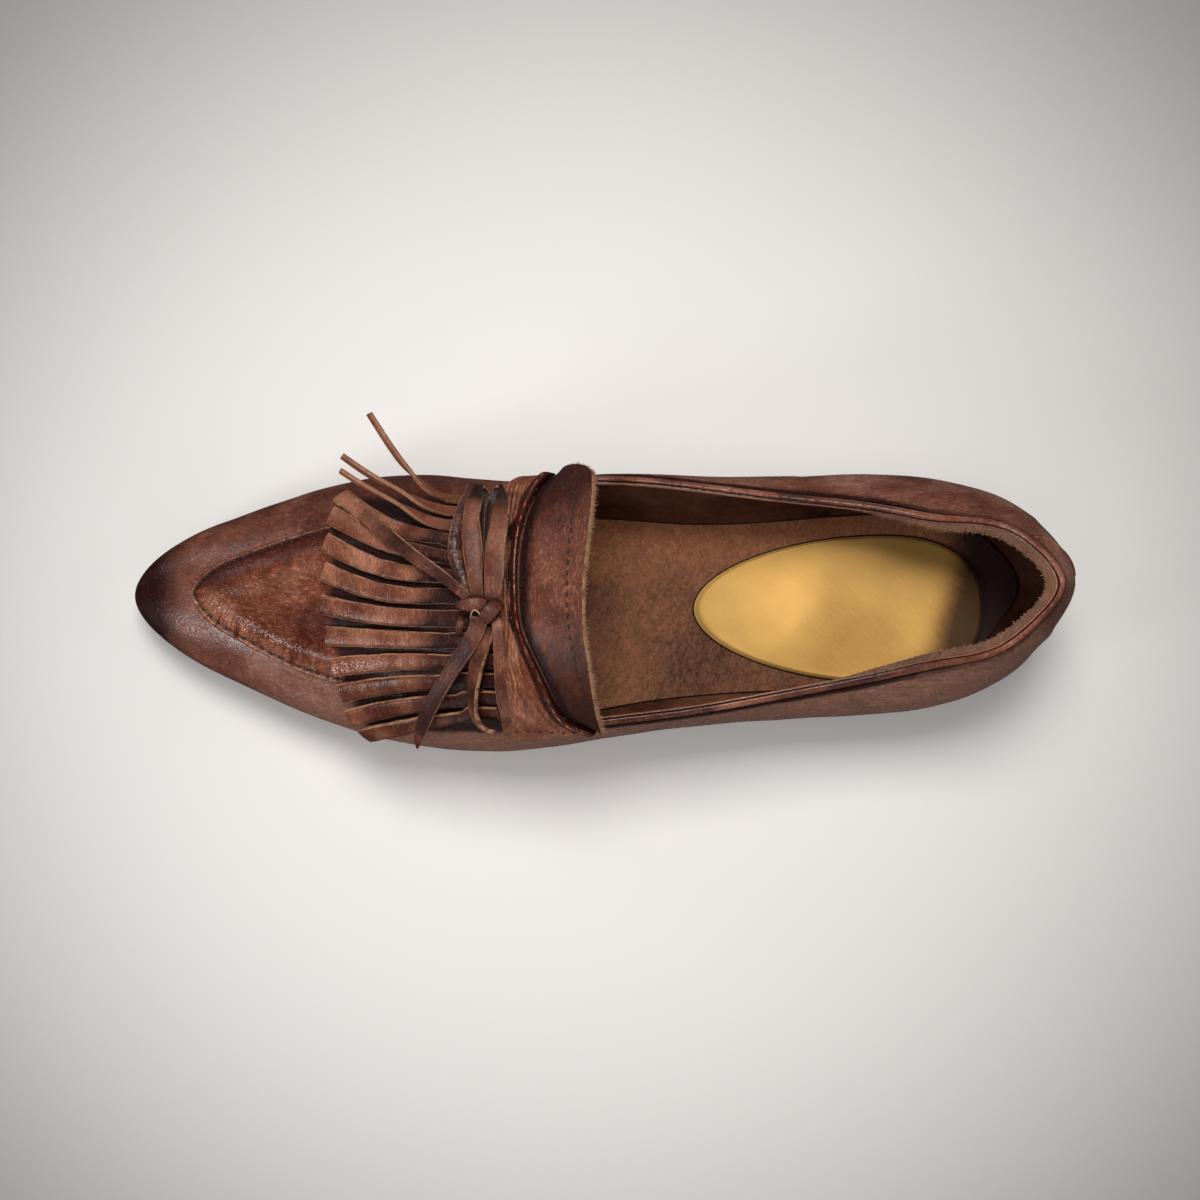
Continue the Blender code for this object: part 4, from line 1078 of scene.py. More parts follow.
def crossing_grid(back, front, close=1.0):
    """Columns and girths of a band over the vamp, from its lateral end over the ridge to its medial end,
    with the share across and the share from its back edge to its front edge, closer at the back edge."""
    across = np.linspace(-1, 1, CROSSING_COLUMNS + 1)[:, None]
    share = np.linspace(0, 1, CROSSING_ROWS + 1)[None, :] ** close
    x = back[:, None] + (front - back)[:, None] * share
    across, share = np.broadcast_arrays(across, share)
    end = np.where(across < 0, *CROSSING_ENDS)
    girth = end + (1 - end) * (1 - np.abs(across))
    column = np.where(across > 0, column_at(x, True), column_at(x, False))
    return column, girth, across, share


def crossing_edges():
    """Free edge of the tongue, back edge and front edge of the saddle."""
    edges_at = spline([c.across for c in CROSSINGS], [c[1:] for c in CROSSINGS])
    return edges_at(np.linspace(-1, 1, CROSSING_COLUMNS + 1)).T


def make_saddle(finish):
    """The strap over the instep: a round roll along its back edge, a groove beside it, fibrous creases that
    run across the shoe in the band under the bow, darkened in patches, folds at its outer end, and
    stitches.
    The groove and the roll's back edge carry painted shade, and the roll's crest a painted highlight."""
    _, back, front = crossing_edges()
    column, girth, across, share = crossing_grid(back, front, 1.5)
    depth = (front - back)[:, None] * share
    ahead = (front - back)[:, None] - depth
    half = 0.95 + 0.55 * np.abs(across)
    roll = 1.55 * np.sqrt(np.clip(1 - ((depth - half) / half) ** 2, 0, 1))
    roll = roll * smooth_step(1.04, 0.84, across)
    beside = depth - 2 * half
    groove = -0.30 * hump(beside, 0.3, 0.5)
    run = across * 38.0
    band = smooth_step(7.0, 3.0, ahead) * smooth_step(0.95, 0.6, np.abs(across))
    band = band * smooth_step(-0.2, 0.4, beside)
    fibre = ripple(ahead + 0.8 * ripple(run, 13.0, 21), 1.5, 22)
    crease = 0.34 * fibre * band
    crease += 0.16 * ripple(run * 0.5 + ahead, 3.1, 23) * smooth_step(0.0, 2.5, beside)
    plan = skin(column, girth)[..., :2]
    for fold in SADDLE_FOLDS:
        crease += fold.rise * hump(distance_to(plan, fold.path), 0, fold.width)
    points = skin(column, girth, GAP + LEATHER + roll + groove + crease)
    # Painted shade in the groove beside the roll and along the roll's back edge; the band is darker in
    # patches.
    stain = 0.80 * hump(beside, 0.3, 0.6) + band * (0.8 * ripple(run, 8.0, 24) + 0.05)
    stain = np.maximum(stain, smooth_step(0.35, 0.0, depth / half) * 0.9)
    # The band's fibres are paler; the lateral end is paler as painted light.
    tone = band * (0.4 + 1.6 * fibre) + smooth_step(-0.45, -0.7, across) * 0.4
    tone -= 1.6 * smooth_step(0.3, -0.3, beside)
    # Painted highlight: a pale broken line along the roll's crest.
    tone += 3.4 * hump(depth, 0.7 * half, 0.18) * (0.4 + 0.9 * ripple(run, 4.0, 25))
    marks = {"stain": stain, "tone": tone, "gloss": smooth_step(0.2, -0.4, beside)}
    under = skin(column, girth, GAP * 0.6)
    thick_piece(
        "saddle_leather", points, under, grid_quads(*column.shape), finish["saddle"],
        ["saddle"], marks, raw_rim=False,
    )
    normal = grid_normals(points)
    tubes = []
    for row in SADDLE_STITCHES:
        path = seat(through(row.path, 60), points, normal)
        tubes += stitch_tubes(*path, row.pitch, row.length, 0.36, 0.26)
    tubes_piece("saddle_stitches", tubes, finish["thread"])


TONGUE_STITCHES = Stitches(2.9, 1.8, [
    (117.2, -28.0), (115.0, -28.8), (112.6, -27.8), (112.0, -25.4), (112.7, -17.0), (113.6, -8.0),
    (113.8, 2.0), (113.4, 10.0), (111.8, 19.2), (110.5, 24.4), (109.4, 30.2), (108.9, 33.6),
])


def make_tongue(finish):
    """The flap from under the saddle: it dips behind the rolled edge, then stands up over the throat and
    ends in a raw cut with loose fibres."""
    free_edge, back, _ = crossing_edges()
    rooted = back - TONGUE_CLEARANCE
    column, girth, across, share = crossing_grid(free_edge, rooted)
    depth = (rooted - free_edge)[:, None] * share
    drop = np.where(across > 0, 0.9 * across**6, TONGUE_END_DROP * across**4)
    stand = TONGUE_LIFT * (1 - share) ** 1.5 * (1 - drop)
    seam = (rooted - free_edge)[:, None] - depth
    soft = 0.18 * ripple(across * 40 + depth * 0.6, 9.0, 31) * smooth_step(0, 3, depth)
    soft += 0.12 * ripple(depth + across * 12, 4.0, 32)
    top = GAP + LEATHER + stand + soft - 0.35 * smooth_step(2.4, 0.0, seam)
    points = skin(column, girth, top)
    # Painted shade beside the saddle's roll, over the tongue's root.
    stain = smooth_step(5.5, 0.3, seam) * 0.95
    stain = np.maximum(stain, smooth_step(0.15, 0.8, -across) * 0.55)
    stain = np.maximum(stain, smooth_step(0.05, 0.7, across) * 0.45)
    under = skin(column, girth, GAP * 0.7 + stand)
    under[:, 0] += unit(points[:, 0] - points[:, 1]) * RAW_BEVEL
    marks = {"stain": stain, "tone": -0.9 * smooth_step(0.05, 0.7, np.abs(across))}
    thick_piece(
        "tongue_leather", points, under, grid_quads(*column.shape), finish["tongue"],
        ["tongue"], marks,
    )
    path = seat(through(TONGUE_STITCHES.path, 160), points, grid_normals(points))
    tubes = stitch_tubes(*path, TONGUE_STITCHES.pitch, TONGUE_STITCHES.length, 0.40, 0.20)
    tubes_piece("tongue_stitches", tubes, finish["thread"])
    edge = (points[:, 0] + under[:, 0]) / 2
    make_fuzz("tongue_fibres", edge[8:-8], np.array([-1.0, 0.0, -0.15]), FIBRES, 1.6, finish["fibre"], 41)


# Collar

BINDING_RADIUS = 1.3
BINDING_START_X = THROAT_X - 2.5
BINDING_STEPS = 620
BINDING_SIDES = 26
BINDING_GROOVE = 1.72
HEEL_EDGE_ENDS = (40.0, 36.0)
HEEL_EDGE_WIDTH = 2.7
HEEL_EDGE_STEPS = 320


def collar_frame(column):
    """Middle of the wall's top edge, with the directions across it (outwards) and up from it."""
    top = section(column)["collar"]
    edge, inside = skin(column, top), skin(column, top, -UPPER_THICK)
    middle = (edge + inside) / 2
    across = unit(edge - inside)
    along = unit(np.gradient(middle, axis=0))
    rise = np.cross(across, along)
    rise = rise * np.sign(rise[:, 2:])
    return middle, across, rise


def make_binding(finish):
    """Bound topline: a bead outside and a thinner one inside with a groove between them, as one section
    carried along the collar. Its radius dips at the groove and wavers where the binding puckers."""
    lateral, medial = column_at(BINDING_START_X, False), column_at(BINDING_START_X, True)
    middle, across, rise = collar_frame(np.linspace(lateral, medial - ROUND, BINDING_STEPS))
    run = run_along(middle)
    turn = np.linspace(0, 2 * np.pi, BINDING_SIDES, endpoint=False)
    groove = 0.46 * hump(turn, BINDING_GROOVE, 0.20)
    waver = 0.035 * ripple(run, 2.6, 51)[:, None] + 0.03 * ripple(run, 9.0, 52)[:, None]
    radius = BINDING_RADIUS * (1.0 - groove + waver)
    centre = middle + rise * (BINDING_RADIUS + GAP)
    rings = centre[:, None] + spokes(across, rise, turn) * radius[..., None]
    # Painted shade in the groove between the beads; the ripple on the outer bead is stain.
    stain = 1.5 * hump(turn, BINDING_GROOVE, 0.26)
    stain = stain + 0.22 * ripple(run, 11.0, 53)[:, None] * smooth_step(1.9, 1.2, turn)
    tone = np.broadcast_to(np.where(turn > BINDING_GROOVE + 0.06, 0.7, -0.2), rings.shape[:2])
    marks = {"stain": stain.ravel(), "tone": tone.ravel()}
    make_piece(
        "collar_bead", rings.reshape(-1, 3), ring_faces(*rings.shape[:2]), finish["binding"],
        ["collar_binding"], marks, sharp=80,
    )


def make_heel_edge(finish):
    """Suede edge of the heel lining: a soft flat band inside the bead, widest behind and drawn out to
    nothing on both sides, with loose fibres along its inner edge."""
    outer, inner = SEARCH <= TIP, SEARCH >= TIP
    lateral = np.interp(HEEL_EDGE_ENDS[0], SEARCH_X[outer], SEARCH[outer])
    medial = np.interp(-HEEL_EDGE_ENDS[1], -SEARCH_X[inner], SEARCH[inner])
    middle, across, rise = collar_frame(np.linspace(lateral, medial - ROUND, HEEL_EDGE_STEPS))
    share = np.linspace(-1, 1, HEEL_EDGE_STEPS)
    run = np.arange(HEEL_EDGE_STEPS) * 0.55
    width = HEEL_EDGE_WIDTH * np.clip(1 - np.abs(share) ** 3.2, 0.02, 1) + 0.28 * ripple(run, 1.6, 61)
    width = np.maximum(width, 0.15)
    inward = unit(-across * [1, 1, 0.15])
    start = middle + rise * (BINDING_RADIUS + GAP) + inward * (BINDING_RADIUS * 0.86)
    turn = np.linspace(0, 2 * np.pi, 14, endpoint=False)
    tilt = unit(inward * 0.94 - np.array([0, 0, 0.30]))
    lift = unit(np.cross(tilt, np.gradient(start, axis=0)))
    lift = lift * np.sign(lift[:, 2:])
    centre = start + tilt * (width / 2)[:, None] - lift * 0.35
    half = (width / 2 + 0.25)[:, None]
    thick = 0.62 * (1 + 0.12 * ripple(run, 2.2, 62)[:, None])
    rings = centre[:, None] + spokes(tilt * half, lift * thick, turn)
    tubes_piece("heel_lining_edge", [rings], finish["edge"], sharp=80)
    edge = centre + tilt * (width / 2)[:, None]
    make_fuzz("heel_edge_fibres", edge[12:-12], tilt[12:-12], FIBRES, 0.8, finish["fibre"], 63)


# Fringe

FRINGE_ENDS = (0.42, 0.51)
FRINGE_BACK_X = 133.2
FRINGE_LIFT = 2.4
FRINGE_SLIT = 0.009
STRIP_TIP_WIDTH = 5.6
STRIP_STEPS = 34
STRIP_ARCH = 0.9
Strip = namedtuple("Strip", "root_x tip_x tip_y bow roll tone gloss")
STRIPS = [
    Strip(147.5, 177.8, -25.0, 2.8, 6, 0.25, 0.0),
    Strip(147.8, 180.0, -19.8, 2.0, -16, 0.05, 0.0),
    Strip(147.6, 181.2, -12.4, 2.5, -14, 0.20, 0.2),
    Strip(147.2, 181.4, -4.4, 2.2, -10, 0.10, 0.4),
    Strip(146.6, 182.3, 4.4, 1.0, -6, 0.00, 0.3),
    Strip(146.0, 180.8, 13.0, 0.0, 3, 0.15, 0.2),
    Strip(145.2, 179.0, 21.4, -0.8, 6, 0.05, 1.0),
    Strip(144.2, 177.0, 28.6, -1.2, 4, -0.45, 0.4),
    Strip(143.0, 174.8, 35.2, -1.2, 8, -0.35, 0.2),
    Strip(141.6, 171.4, 40.0, -0.8, 4, -0.45, 0.2),
]
Curl = namedtuple("Curl", "x y z turn")
CURL_ROOT_X = 147.6
CURL_WIDTH = 3.0
CURLS = [
    [
        Curl(152.6, -27.4, 49.8, 12.0),
        Curl(156.4, -31.2, 51.2, 50.0),
        Curl(160.8, -36.4, 52.4, 75.0),
        Curl(168.1, -47.7, 55.0, 85.0),
    ],
    [
        Curl(153.4, -23.2, 50.2, 15.0),
        Curl(159.0, -26.2, 49.6, 55.0),
        Curl(167.5, -30.6, 47.6, 75.0),
        Curl(176.4, -36.6, 47.8, 85.0),
    ],
    [
        Curl(153.6, -19.2, 50.6, 15.0),
        Curl(159.8, -22.8, 48.4, 55.0),
        Curl(168.4, -27.2, 44.8, 75.0),
        Curl(177.4, -32.8, 43.4, 85.0),
    ],
]


def fringe_root(place, x):
    """Column and girth on the fringe's band, where place runs from 0 at the medial end to 1 at the lateral
    end."""
    span = (1 - FRINGE_ENDS[0]) / (2 - sum(FRINGE_ENDS))
    medial = place < span
    girth = np.where(
        medial,
        FRINGE_ENDS[0] + (1 - FRINGE_ENDS[0]) * place / span,
        1 - (1 - FRINGE_ENDS[1]) * (place - span) / (1 - span),
    )
    return np.where(medial, column_at(x, True), column_at(x, False)), girth


def rolled(side, face, degrees):
    """Side and face turned about the strip's length."""
    turn = np.radians(degrees)[:, None]
    return side * np.cos(turn) + face * np.sin(turn), face * np.cos(turn) - side * np.sin(turn)


def band_line(back, root):
    """Points from the band's back edge to just short of a strip's root."""
    return back.mean(0) + (root.mean(0) - back.mean(0)) * np.linspace(0, 1, 9)[:-1, None]


def laid_strip(strip, back, root):
    """Rings of a strip that lies on the vamp: straight in plan with a sideways bow, arched off the vamp,
    rolled a little more towards its tip."""
    share = np.linspace(0, 1, STRIP_STEPS)
    middle = root.mean(0)
    x = middle[0] + (strip.tip_x - middle[0]) * share
    y = middle[1] + (strip.tip_y - middle[1]) * share + strip.bow * np.sin(np.pi * share)
    seed = abs(int(strip.tip_x * 10 + strip.tip_y * 100))
    lift = FRINGE_LIFT + STRIP_ARCH * np.sin(np.pi * share) + 0.45 * ripple(share * 30, 16.0, seed) * share
    centre, normal = vamp_point(x, y, lift)
    behind = band_line(back, root)
    centre = np.concatenate([behind, centre])
    normal = np.concatenate([np.broadcast_to(normal[0], behind.shape), normal])
    share = np.concatenate([np.zeros(len(behind)), share])
    along = unit(np.gradient(centre, axis=0))
    side = unit(np.cross(normal, along))
    face = unit(np.cross(along, side))
    side, face = rolled(side, face, strip.roll * share**1.5)
    width = np.linalg.norm(root[1] - root[0])
    half = (width + (STRIP_TIP_WIDTH - width) * share) / 2
    half = half * (1 + 0.04 * ripple(share * 30, 7.0, seed + 1))
    tone = strip.tone + 0.6 * ripple(share * 40, 17.0, seed + 2)
    stain = 0.75 * smooth_step(0.36, 0.0, share) + 0.12 * ripple(share * 40, 9.0, seed + 3)
    # Painted shade along each strip's lateral edge, the side turned from the key lamp.
    stain = stain[:, None] + 0.42 * smooth_step(0.2, 1.0, STRIP_SECTION[:, 0])
    gloss = strip.gloss * smooth_step(0.3, 0.8, share)
    centre = centre + face * 0.16 * ripple(share * 34, 3.4, seed + 4)[:, None]
    return strip_rings(centre, side, face, half, LEATHER, -0.30), 1.0, tone, stain, gloss


def curled_strip(rows, back, root, root_normal):
    """Rings of a strip that leaves the vamp and turns onto its edge."""
    path = through([(*root.mean(0), 0.0)] + rows, STRIP_STEPS)
    behind = band_line(back, root)
    centre = np.concatenate([behind, path[:, :3]])
    turn = np.concatenate([np.zeros(len(behind)), path[:, 3]])
    along = unit(np.gradient(centre, axis=0))
    flat = unit(np.cross(np.broadcast_to(root_normal, along.shape), along))
    side, face = rolled(flat, np.cross(along, flat), turn)
    width = np.linalg.norm(root[1] - root[0])
    share = np.linspace(0, 1, len(centre))
    half = (width + (CURL_WIDTH - width) * smooth_step(0.1, 0.55, share)) / 2
    half = half * (1 - 0.35 * share**6)
    stain = 0.6 * smooth_step(0.4, 0.05, share)
    return strip_rings(centre, side, face, half, LEATHER * 0.9, 0.15), 0.4, 0.3, stain, 0.0


def make_fringe(finish):
    """The kiltie: thirteen strips side by side from under the bow, the first three curled up."""
    strips = len(CURLS) + len(STRIPS)
    cut = np.linspace(0, 1, strips + 1)
    made = []
    for i in range(strips):
        place = np.array([cut[i] + FRINGE_SLIT, cut[i + 1] - FRINGE_SLIT])
        curl = i < len(CURLS)
        root_x = CURL_ROOT_X if curl else STRIPS[i - len(CURLS)].root_x
        back = skin(*fringe_root(place, np.full(2, FRINGE_BACK_X)), FRINGE_LIFT)
        root = skin(*fringe_root(place, np.full(2, root_x)), FRINGE_LIFT)
        if curl:
            top = skin(*fringe_root(place, np.full(2, root_x)), FRINGE_LIFT + 1)
            made.append(curled_strip(CURLS[i], back, root, unit((top - root).mean(0))))
        else:
            made.append(laid_strip(STRIPS[i - len(CURLS)], back, root))
    strips_piece("fringe_strips", made, finish["fringe"], ["fringe"])


# Bow

Ribbon = namedtuple("Ribbon", "x y z roll width stain")
Bow = namedtuple("Bow", "node thick cup tone rows")
BOW = [
    Bow("loop_medial_front", 1.2, -0.25, 0.15, [
        Ribbon(137.8, 2.0, 60.2, 0, 4.2, 0.9), Ribbon(136.0, -8.0, 58.4, 0, 4.6, 1.0),
        Ribbon(135.6, -17.6, 55.4, 0, 4.8, 1.1), Ribbon(136.4, -24.2, 52.8, 0, 4.2, 1.1),
        Ribbon(137.5, -27.8, 52.9, 0, 1.2, 1.0), Ribbon(138.2, -25.6, 55.4, 2, 2.7, 0.9),
        Ribbon(139.2, -23.4, 57.6, 4, 4.3, 0.5), Ribbon(139.8, -18.4, 60.4, 6, 4.6, 0.1),
        Ribbon(139.5, -12.7, 62.4, 6, 5.4, 0.0), Ribbon(138.9, -6.2, 63.6, 6, 4.7, 0.0),
        Ribbon(138.3, -0.3, 63.6, 4, 3.7, 0.3), Ribbon(137.8, 3.6, 62.0, 0, 3.0, 0.8),
    ]),
    Bow("loop_medial_back", 1.2, -0.25, 0.10, [
        Ribbon(133.8, 2.0, 61.4, 0, 4.2, 0.9), Ribbon(134.2, -8.0, 60.0, 0, 4.6, 1.0),
        Ribbon(134.0, -17.6, 57.2, 0, 4.8, 1.1), Ribbon(133.4, -24.2, 54.8, 0, 4.2, 1.1),
        Ribbon(132.3, -27.8, 55.0, 0, 1.2, 1.0), Ribbon(131.6, -25.2, 57.4, -2, 2.9, 0.9),
        Ribbon(131.6, -22.4, 59.4, -6, 4.5, 0.5), Ribbon(132.2, -17.4, 62.2, -8, 5.0, 0.1),
        Ribbon(133.0, -12.6, 64.0, -8, 5.3, 0.0), Ribbon(133.3, -8.3, 65.0, -8, 5.5, 0.0),
        Ribbon(133.6, -0.3, 65.4, -4, 4.9, 0.3), Ribbon(134.0, 3.6, 63.4, 0, 3.4, 0.8),
    ]),
    Bow("loop_lateral_front", 1.2, 0.10, -0.10, [
        Ribbon(134.9, 10.4, 62.4, -10, 3.2, 0.7), Ribbon(136.2, 14.2, 62.4, -20, 4.4, 0.3),
        Ribbon(138.0, 19.4, 61.2, -30, 4.8, 0.1), Ribbon(139.2, 25.4, 58.6, -45, 4.8, 0.1),
        Ribbon(139.7, 31.6, 55.0, -55, 4.6, 0.1), Ribbon(138.3, 37.3, 51.4, -58, 4.4, 0.2),
        Ribbon(134.6, 39.6, 49.4, -58, 3.8, 0.5),
    ]),
    Bow("loop_lateral_back", 1.2, -0.10, 0.05, [
        Ribbon(133.4, 8.4, 63.0, 0, 2.4, 0.5), Ribbon(132.5, 11.2, 64.8, 6, 2.7, 0.1),
        Ribbon(132.0, 22.1, 63.4, 12, 3.0, 0.0), Ribbon(131.4, 30.5, 59.6, 14, 3.0, 0.0),
        Ribbon(130.5, 36.3, 54.6, 12, 2.8, 0.1), Ribbon(130.3, 40.2, 49.6, 8, 2.5, 0.3),
    ]),
    Bow("bow_strap", 2.4, -0.50, -0.25, [
        Ribbon(141.2, 1.2, 59.6, 0, 3.0, 0.6), Ribbon(142.2, -2.5, 59.4, -6, 3.4, 0.3),
        Ribbon(144.0, -7.8, 58.0, -12, 3.9, 0.15), Ribbon(144.3, -12.1, 56.7, -18, 4.0, 0.1),
        Ribbon(143.5, -18.3, 54.4, -22, 3.6, 0.2), Ribbon(141.9, -23.7, 51.6, -22, 3.2, 0.4),
        Ribbon(139.8, -28.4, 48.2, -20, 3.0, 0.6),
    ]),
    Bow("tail_medial", 1.2, 0.10, -0.35, [
        Ribbon(139.6, 3.6, 61.6, 0, 2.4, 0.5), Ribbon(142.6, 0.8, 61.6, 8, 2.7, 0.2),
        Ribbon(148.2, -3.6, 59.2, 14, 3.2, 0.1), Ribbon(155.0, -8.2, 55.8, 16, 3.7, 0.0),
        Ribbon(162.9, -14.2, 50.6, 12, 4.0, 0.0), Ribbon(171.0, -20.9, 45.0, 6, 3.8, 0.1),
    ]),
    Bow("tail_lateral", 1.2, -0.20, -0.50, [
        Ribbon(137.3, 8.2, 64.6, 0, 4.4, 0.3), Ribbon(138.4, 11.6, 63.4, -6, 4.6, 0.1),
        Ribbon(141.2, 16.4, 61.2, -10, 4.4, 0.1), Ribbon(146.0, 23.3, 57.4, -12, 4.2, 0.0),
        Ribbon(150.8, 31.2, 52.6, -12, 4.1, 0.0), Ribbon(154.6, 39.0, 46.0, -8, 3.6, 0.0),
        Ribbon(156.0, 44.4, 41.2, -4, 0.7, 0.1),
    ]),
]
BOW_STEPS = 72


def bow_strip(bow):
    """Rings, tone and stain of a ribbon along its rows. A medial loop keeps its width along the shoe all
    the way round, and the others face up from the vamp."""
    rows = np.array(bow.rows, float)
    path = through(rows, BOW_STEPS)
    centre, roll, width, stain = path[:, :3], path[:, 3], path[:, 4], path[:, 5]
    along = unit(np.gradient(centre, axis=0))
    _, normal = vamp_point(centre[:, 0], np.clip(centre[:, 1], -30, 40), np.zeros(BOW_STEPS))
    normal = unit(normal + [0, 0, 1])
    if bow.node.startswith("loop_medial"):
        crest = np.stack([normal[:, 2], np.zeros(BOW_STEPS), -normal[:, 0]], -1)
        side = unit(crest - along * (crest * along).sum(-1, keepdims=True))
    else:
        side = unit(np.cross(along, normal))
    side, face = rolled(side, np.cross(side, along), roll)
    run = np.arange(BOW_STEPS) * 0.6
    seed = len(bow.node) * 7 + int(rows[0, 0])
    centre = centre + face * (0.12 * ripple(run, 6.0, seed))[:, None]
    width = np.maximum(width, 0.6)
    tone = bow.tone + 0.5 * ripple(run, 12.0, seed + 1)
    gloss = 0.8 if bow.node == "bow_strap" else 0.0
    return strip_rings(centre, side, face, width / 2, bow.thick, bow.cup), 0.9, tone, stain, gloss


Wrap = namedtuple("Wrap", "x y heading span width height cup taper tone")
WRAPS = [
    Wrap(138.2, 4.4, 184.0, 8.8, 4.2, 3.3, -0.55, 0.12, 0.0),
    Wrap(133.7, 6.4, -133.0, 6.8, 4.6, 4.4, -0.35, 0.55, -0.5),
    Wrap(142.0, 10.0, 84.0, 4.4, 2.4, 2.0, -0.30, 0.30, -0.3),
]
KNOT_FOLD = [
    (139.9, 8.2, 64.4), (139.6, 7.2, 65.0), (138.8, 5.9, 65.8), (137.4, 6.6, 66.0), (136.3, 8.2, 65.6),
    (135.6, 9.3, 64.6),
]


def make_knot(finish):
    """The knot: ribbons that arch over each other, each half a turn over a low core, and the pale cut of
    the tail's end where it folds over them."""
    across = np.abs(STRIP_SECTION[:, 0])
    made = []
    for wrap in WRAPS:
        turn = np.linspace(-0.08, 1.08, 34) * np.pi
        base, _ = vamp_point(wrap.x, wrap.y, np.array(FRINGE_LIFT + 0.4))
        heading = np.radians(wrap.heading)
        ahead = np.array([np.cos(heading), np.sin(heading), 0.0])
        centre = base + ahead * (-np.cos(turn) * wrap.span / 2)[:, None]
        centre[:, 2] += np.sin(turn) * wrap.height + 1.8
        along = unit(np.gradient(centre, axis=0))
        side = np.broadcast_to(np.array([-np.sin(heading), np.cos(heading), 0.0]), centre.shape)
        face = np.cross(side, along)
        face = face * np.where(face[len(face) // 2, 2] < 0, -1, 1)
        half = wrap.width / 2 * (wrap.taper + (1 - wrap.taper) * np.clip(np.sin(turn), 0, 1))
        stain = 0.9 * smooth_step(0.7, 0.1, np.sin(turn))[:, None] + 0.8 * smooth_step(0.5, 1.0, across)
        made.append((strip_rings(centre, side, face, half, 1.3, wrap.cup), 0.0, wrap.tone, stain, 0.0))
    strips_piece("bow_knot", made, finish["bow"], ["knot"])
    tube = round_tube(through(KNOT_FOLD, 40), 0.24 * np.sin(np.linspace(0.25, np.pi - 0.25, 40)))
    tubes_piece("bow_fold_edge", [tube], finish["fibre"])


def make_bow(finish):
    """The knot and every ribbon of the bow."""
    make_knot(finish)
    for bow in BOW:
        strips_piece(f"bow_{bow.node}", [bow_strip(bow)], finish["bow"], [bow.node])


# Sole and inside

SOLE_MARGIN = 1.6
INSOLE_CLEARANCE = UPPER_THICK + 0.5
HEEL_INSET = -0.8
HEEL_TAPER = 1.4
SOLE_STATIONS = 150
SOLE_ROWS = 40


def foot_plan(inset):
    """Plan points of the widest line drawn in by inset, which adds to the foot tuck."""
    s = section(SEARCH)
    return s["spine"] + s["out"] * (s["reach"] - s["foot_in"] - inset)[:, None]


def outline_at(x, inset, medial):
    """Place across of the drawn-in outline on one side."""
    plan = foot_plan(inset)
    side = SEARCH >= TIP if medial else SEARCH <= TIP
    order = np.argsort(plan[side, 0])
    return np.interp(x, plan[side, 0][order], plan[side, 1][order])


def outline_ends(inset):
    """Hindmost and foremost place of the drawn-in outline."""
    x = foot_plan(inset)[:, 0]
    return x.min(), x.max()


def sole_grid(back_x, front_x, inset, round_front=True):
    """Plan points between the two outlines, closer together where the ends are round."""
    turn = np.linspace(0, np.pi if round_front else np.pi / 2, SOLE_STATIONS + 1)
    share = (1 - np.cos(turn)) / (2 if round_front else 1)
    x = back_x + (front_x - back_x) * share
    low, high = outline_at(x, inset, True), outline_at(x, inset, False)
    closed = [0, -1] if round_front else [0]
    low[closed] = high[closed] = (low[closed] + high[closed]) / 2
    y = low[:, None] + (high - low)[:, None] * np.linspace(0, 1, SOLE_ROWS + 1)
    return np.broadcast_to(x[:, None], y.shape), y


def soften(piece, width):
    """Rounds a piece's hard edges."""
    bevel = piece.modifiers.new("rounded", "BEVEL")
    bevel.width = width * MM
    bevel.segments = 3
    bevel.limit_method = "ANGLE"
    bevel.angle_limit = math.radians(50)


def make_sole(finish):
    """Outsole, heel block and sock, each between two sheets of the sole's outline drawn in or out."""
    back, front = outline_ends(-SOLE_MARGIN)
    x, y = sole_grid(back, front, -SOLE_MARGIN)
    top = np.stack([x, y, sole_top(x)], -1)
    quads = grid_quads(*x.shape)
    under = top - (0, 0, SOLE_THICK)
    sole = thick_piece(
        "outsole_rubber", top, under, quads, finish["rubber"], ["outsole"], raw_rim=False
    )
    soften(sole, 0.7)
    back, _ = outline_ends(HEEL_INSET)
    x, y = sole_grid(back, HEEL_BREAST_X, HEEL_INSET, round_front=False)
    middle = np.array([(back + HEEL_BREAST_X) / 2, 0.0])
    plan = np.stack([x, y], -1)
    reach = np.linalg.norm(plan - middle, axis=-1, keepdims=True)
    floor = middle + (plan - middle) * (1 - HEEL_TAPER / np.maximum(reach, HEEL_TAPER * 4))
    top = np.concatenate([plan, (sole_top(x) - SOLE_THICK - GAP)[..., None]], -1)
    under = np.concatenate([floor, np.zeros_like(x)[..., None]], -1)
    heel = thick_piece(
        "heel_block", top, under, quads, finish["rubber"], ["heel"], raw_rim=False
    )
    soften(heel, 0.6)
    back, front = outline_ends(INSOLE_CLEARANCE)
    x, y = sole_grid(back, front, INSOLE_CLEARANCE)
    level = sole_top(x) + GAP
    swell = 0.12 * np.sin(x / 11.0 + y / 7.0) + 0.10 * np.sin(x / 6.0 - y / 9.0)
    top = np.stack([x, y, level + INSOLE_THICK + swell - 0.1], -1)
    under = np.stack([x, y, level], -1)
    # Painted shade towards the heel, under the heel wall; painted light on the medial side, against the
    # medial wall's shadow, and a little towards the front.
    marks = {
        "stain": smooth_step(14.0, -6.0, x) * 0.92,
        "tone": 1.7 * smooth_step(2.0, -16.0, y) + 0.35 * smooth_step(80.0, 98.0, x),
    }
    thick_piece(
        "insole_sock", top, under, quads, finish["sock"], ["insole"], marks, raw_rim=False
    )


PAD_BACK_X = -6.2
PAD_WIDE_X = 23.0
PAD_FRONT_X = 77.4
PAD_Y = 5.8
PAD_HALF_WIDTH = 21.2
PAD_THICK = 0.8
PAD_OUTLINE = 0.45
PAD_FRONT_FULL = 1.9
PAD_BACK_FULL = 2.4
PAD_SIDES = 180
PAD_RINGS = 32


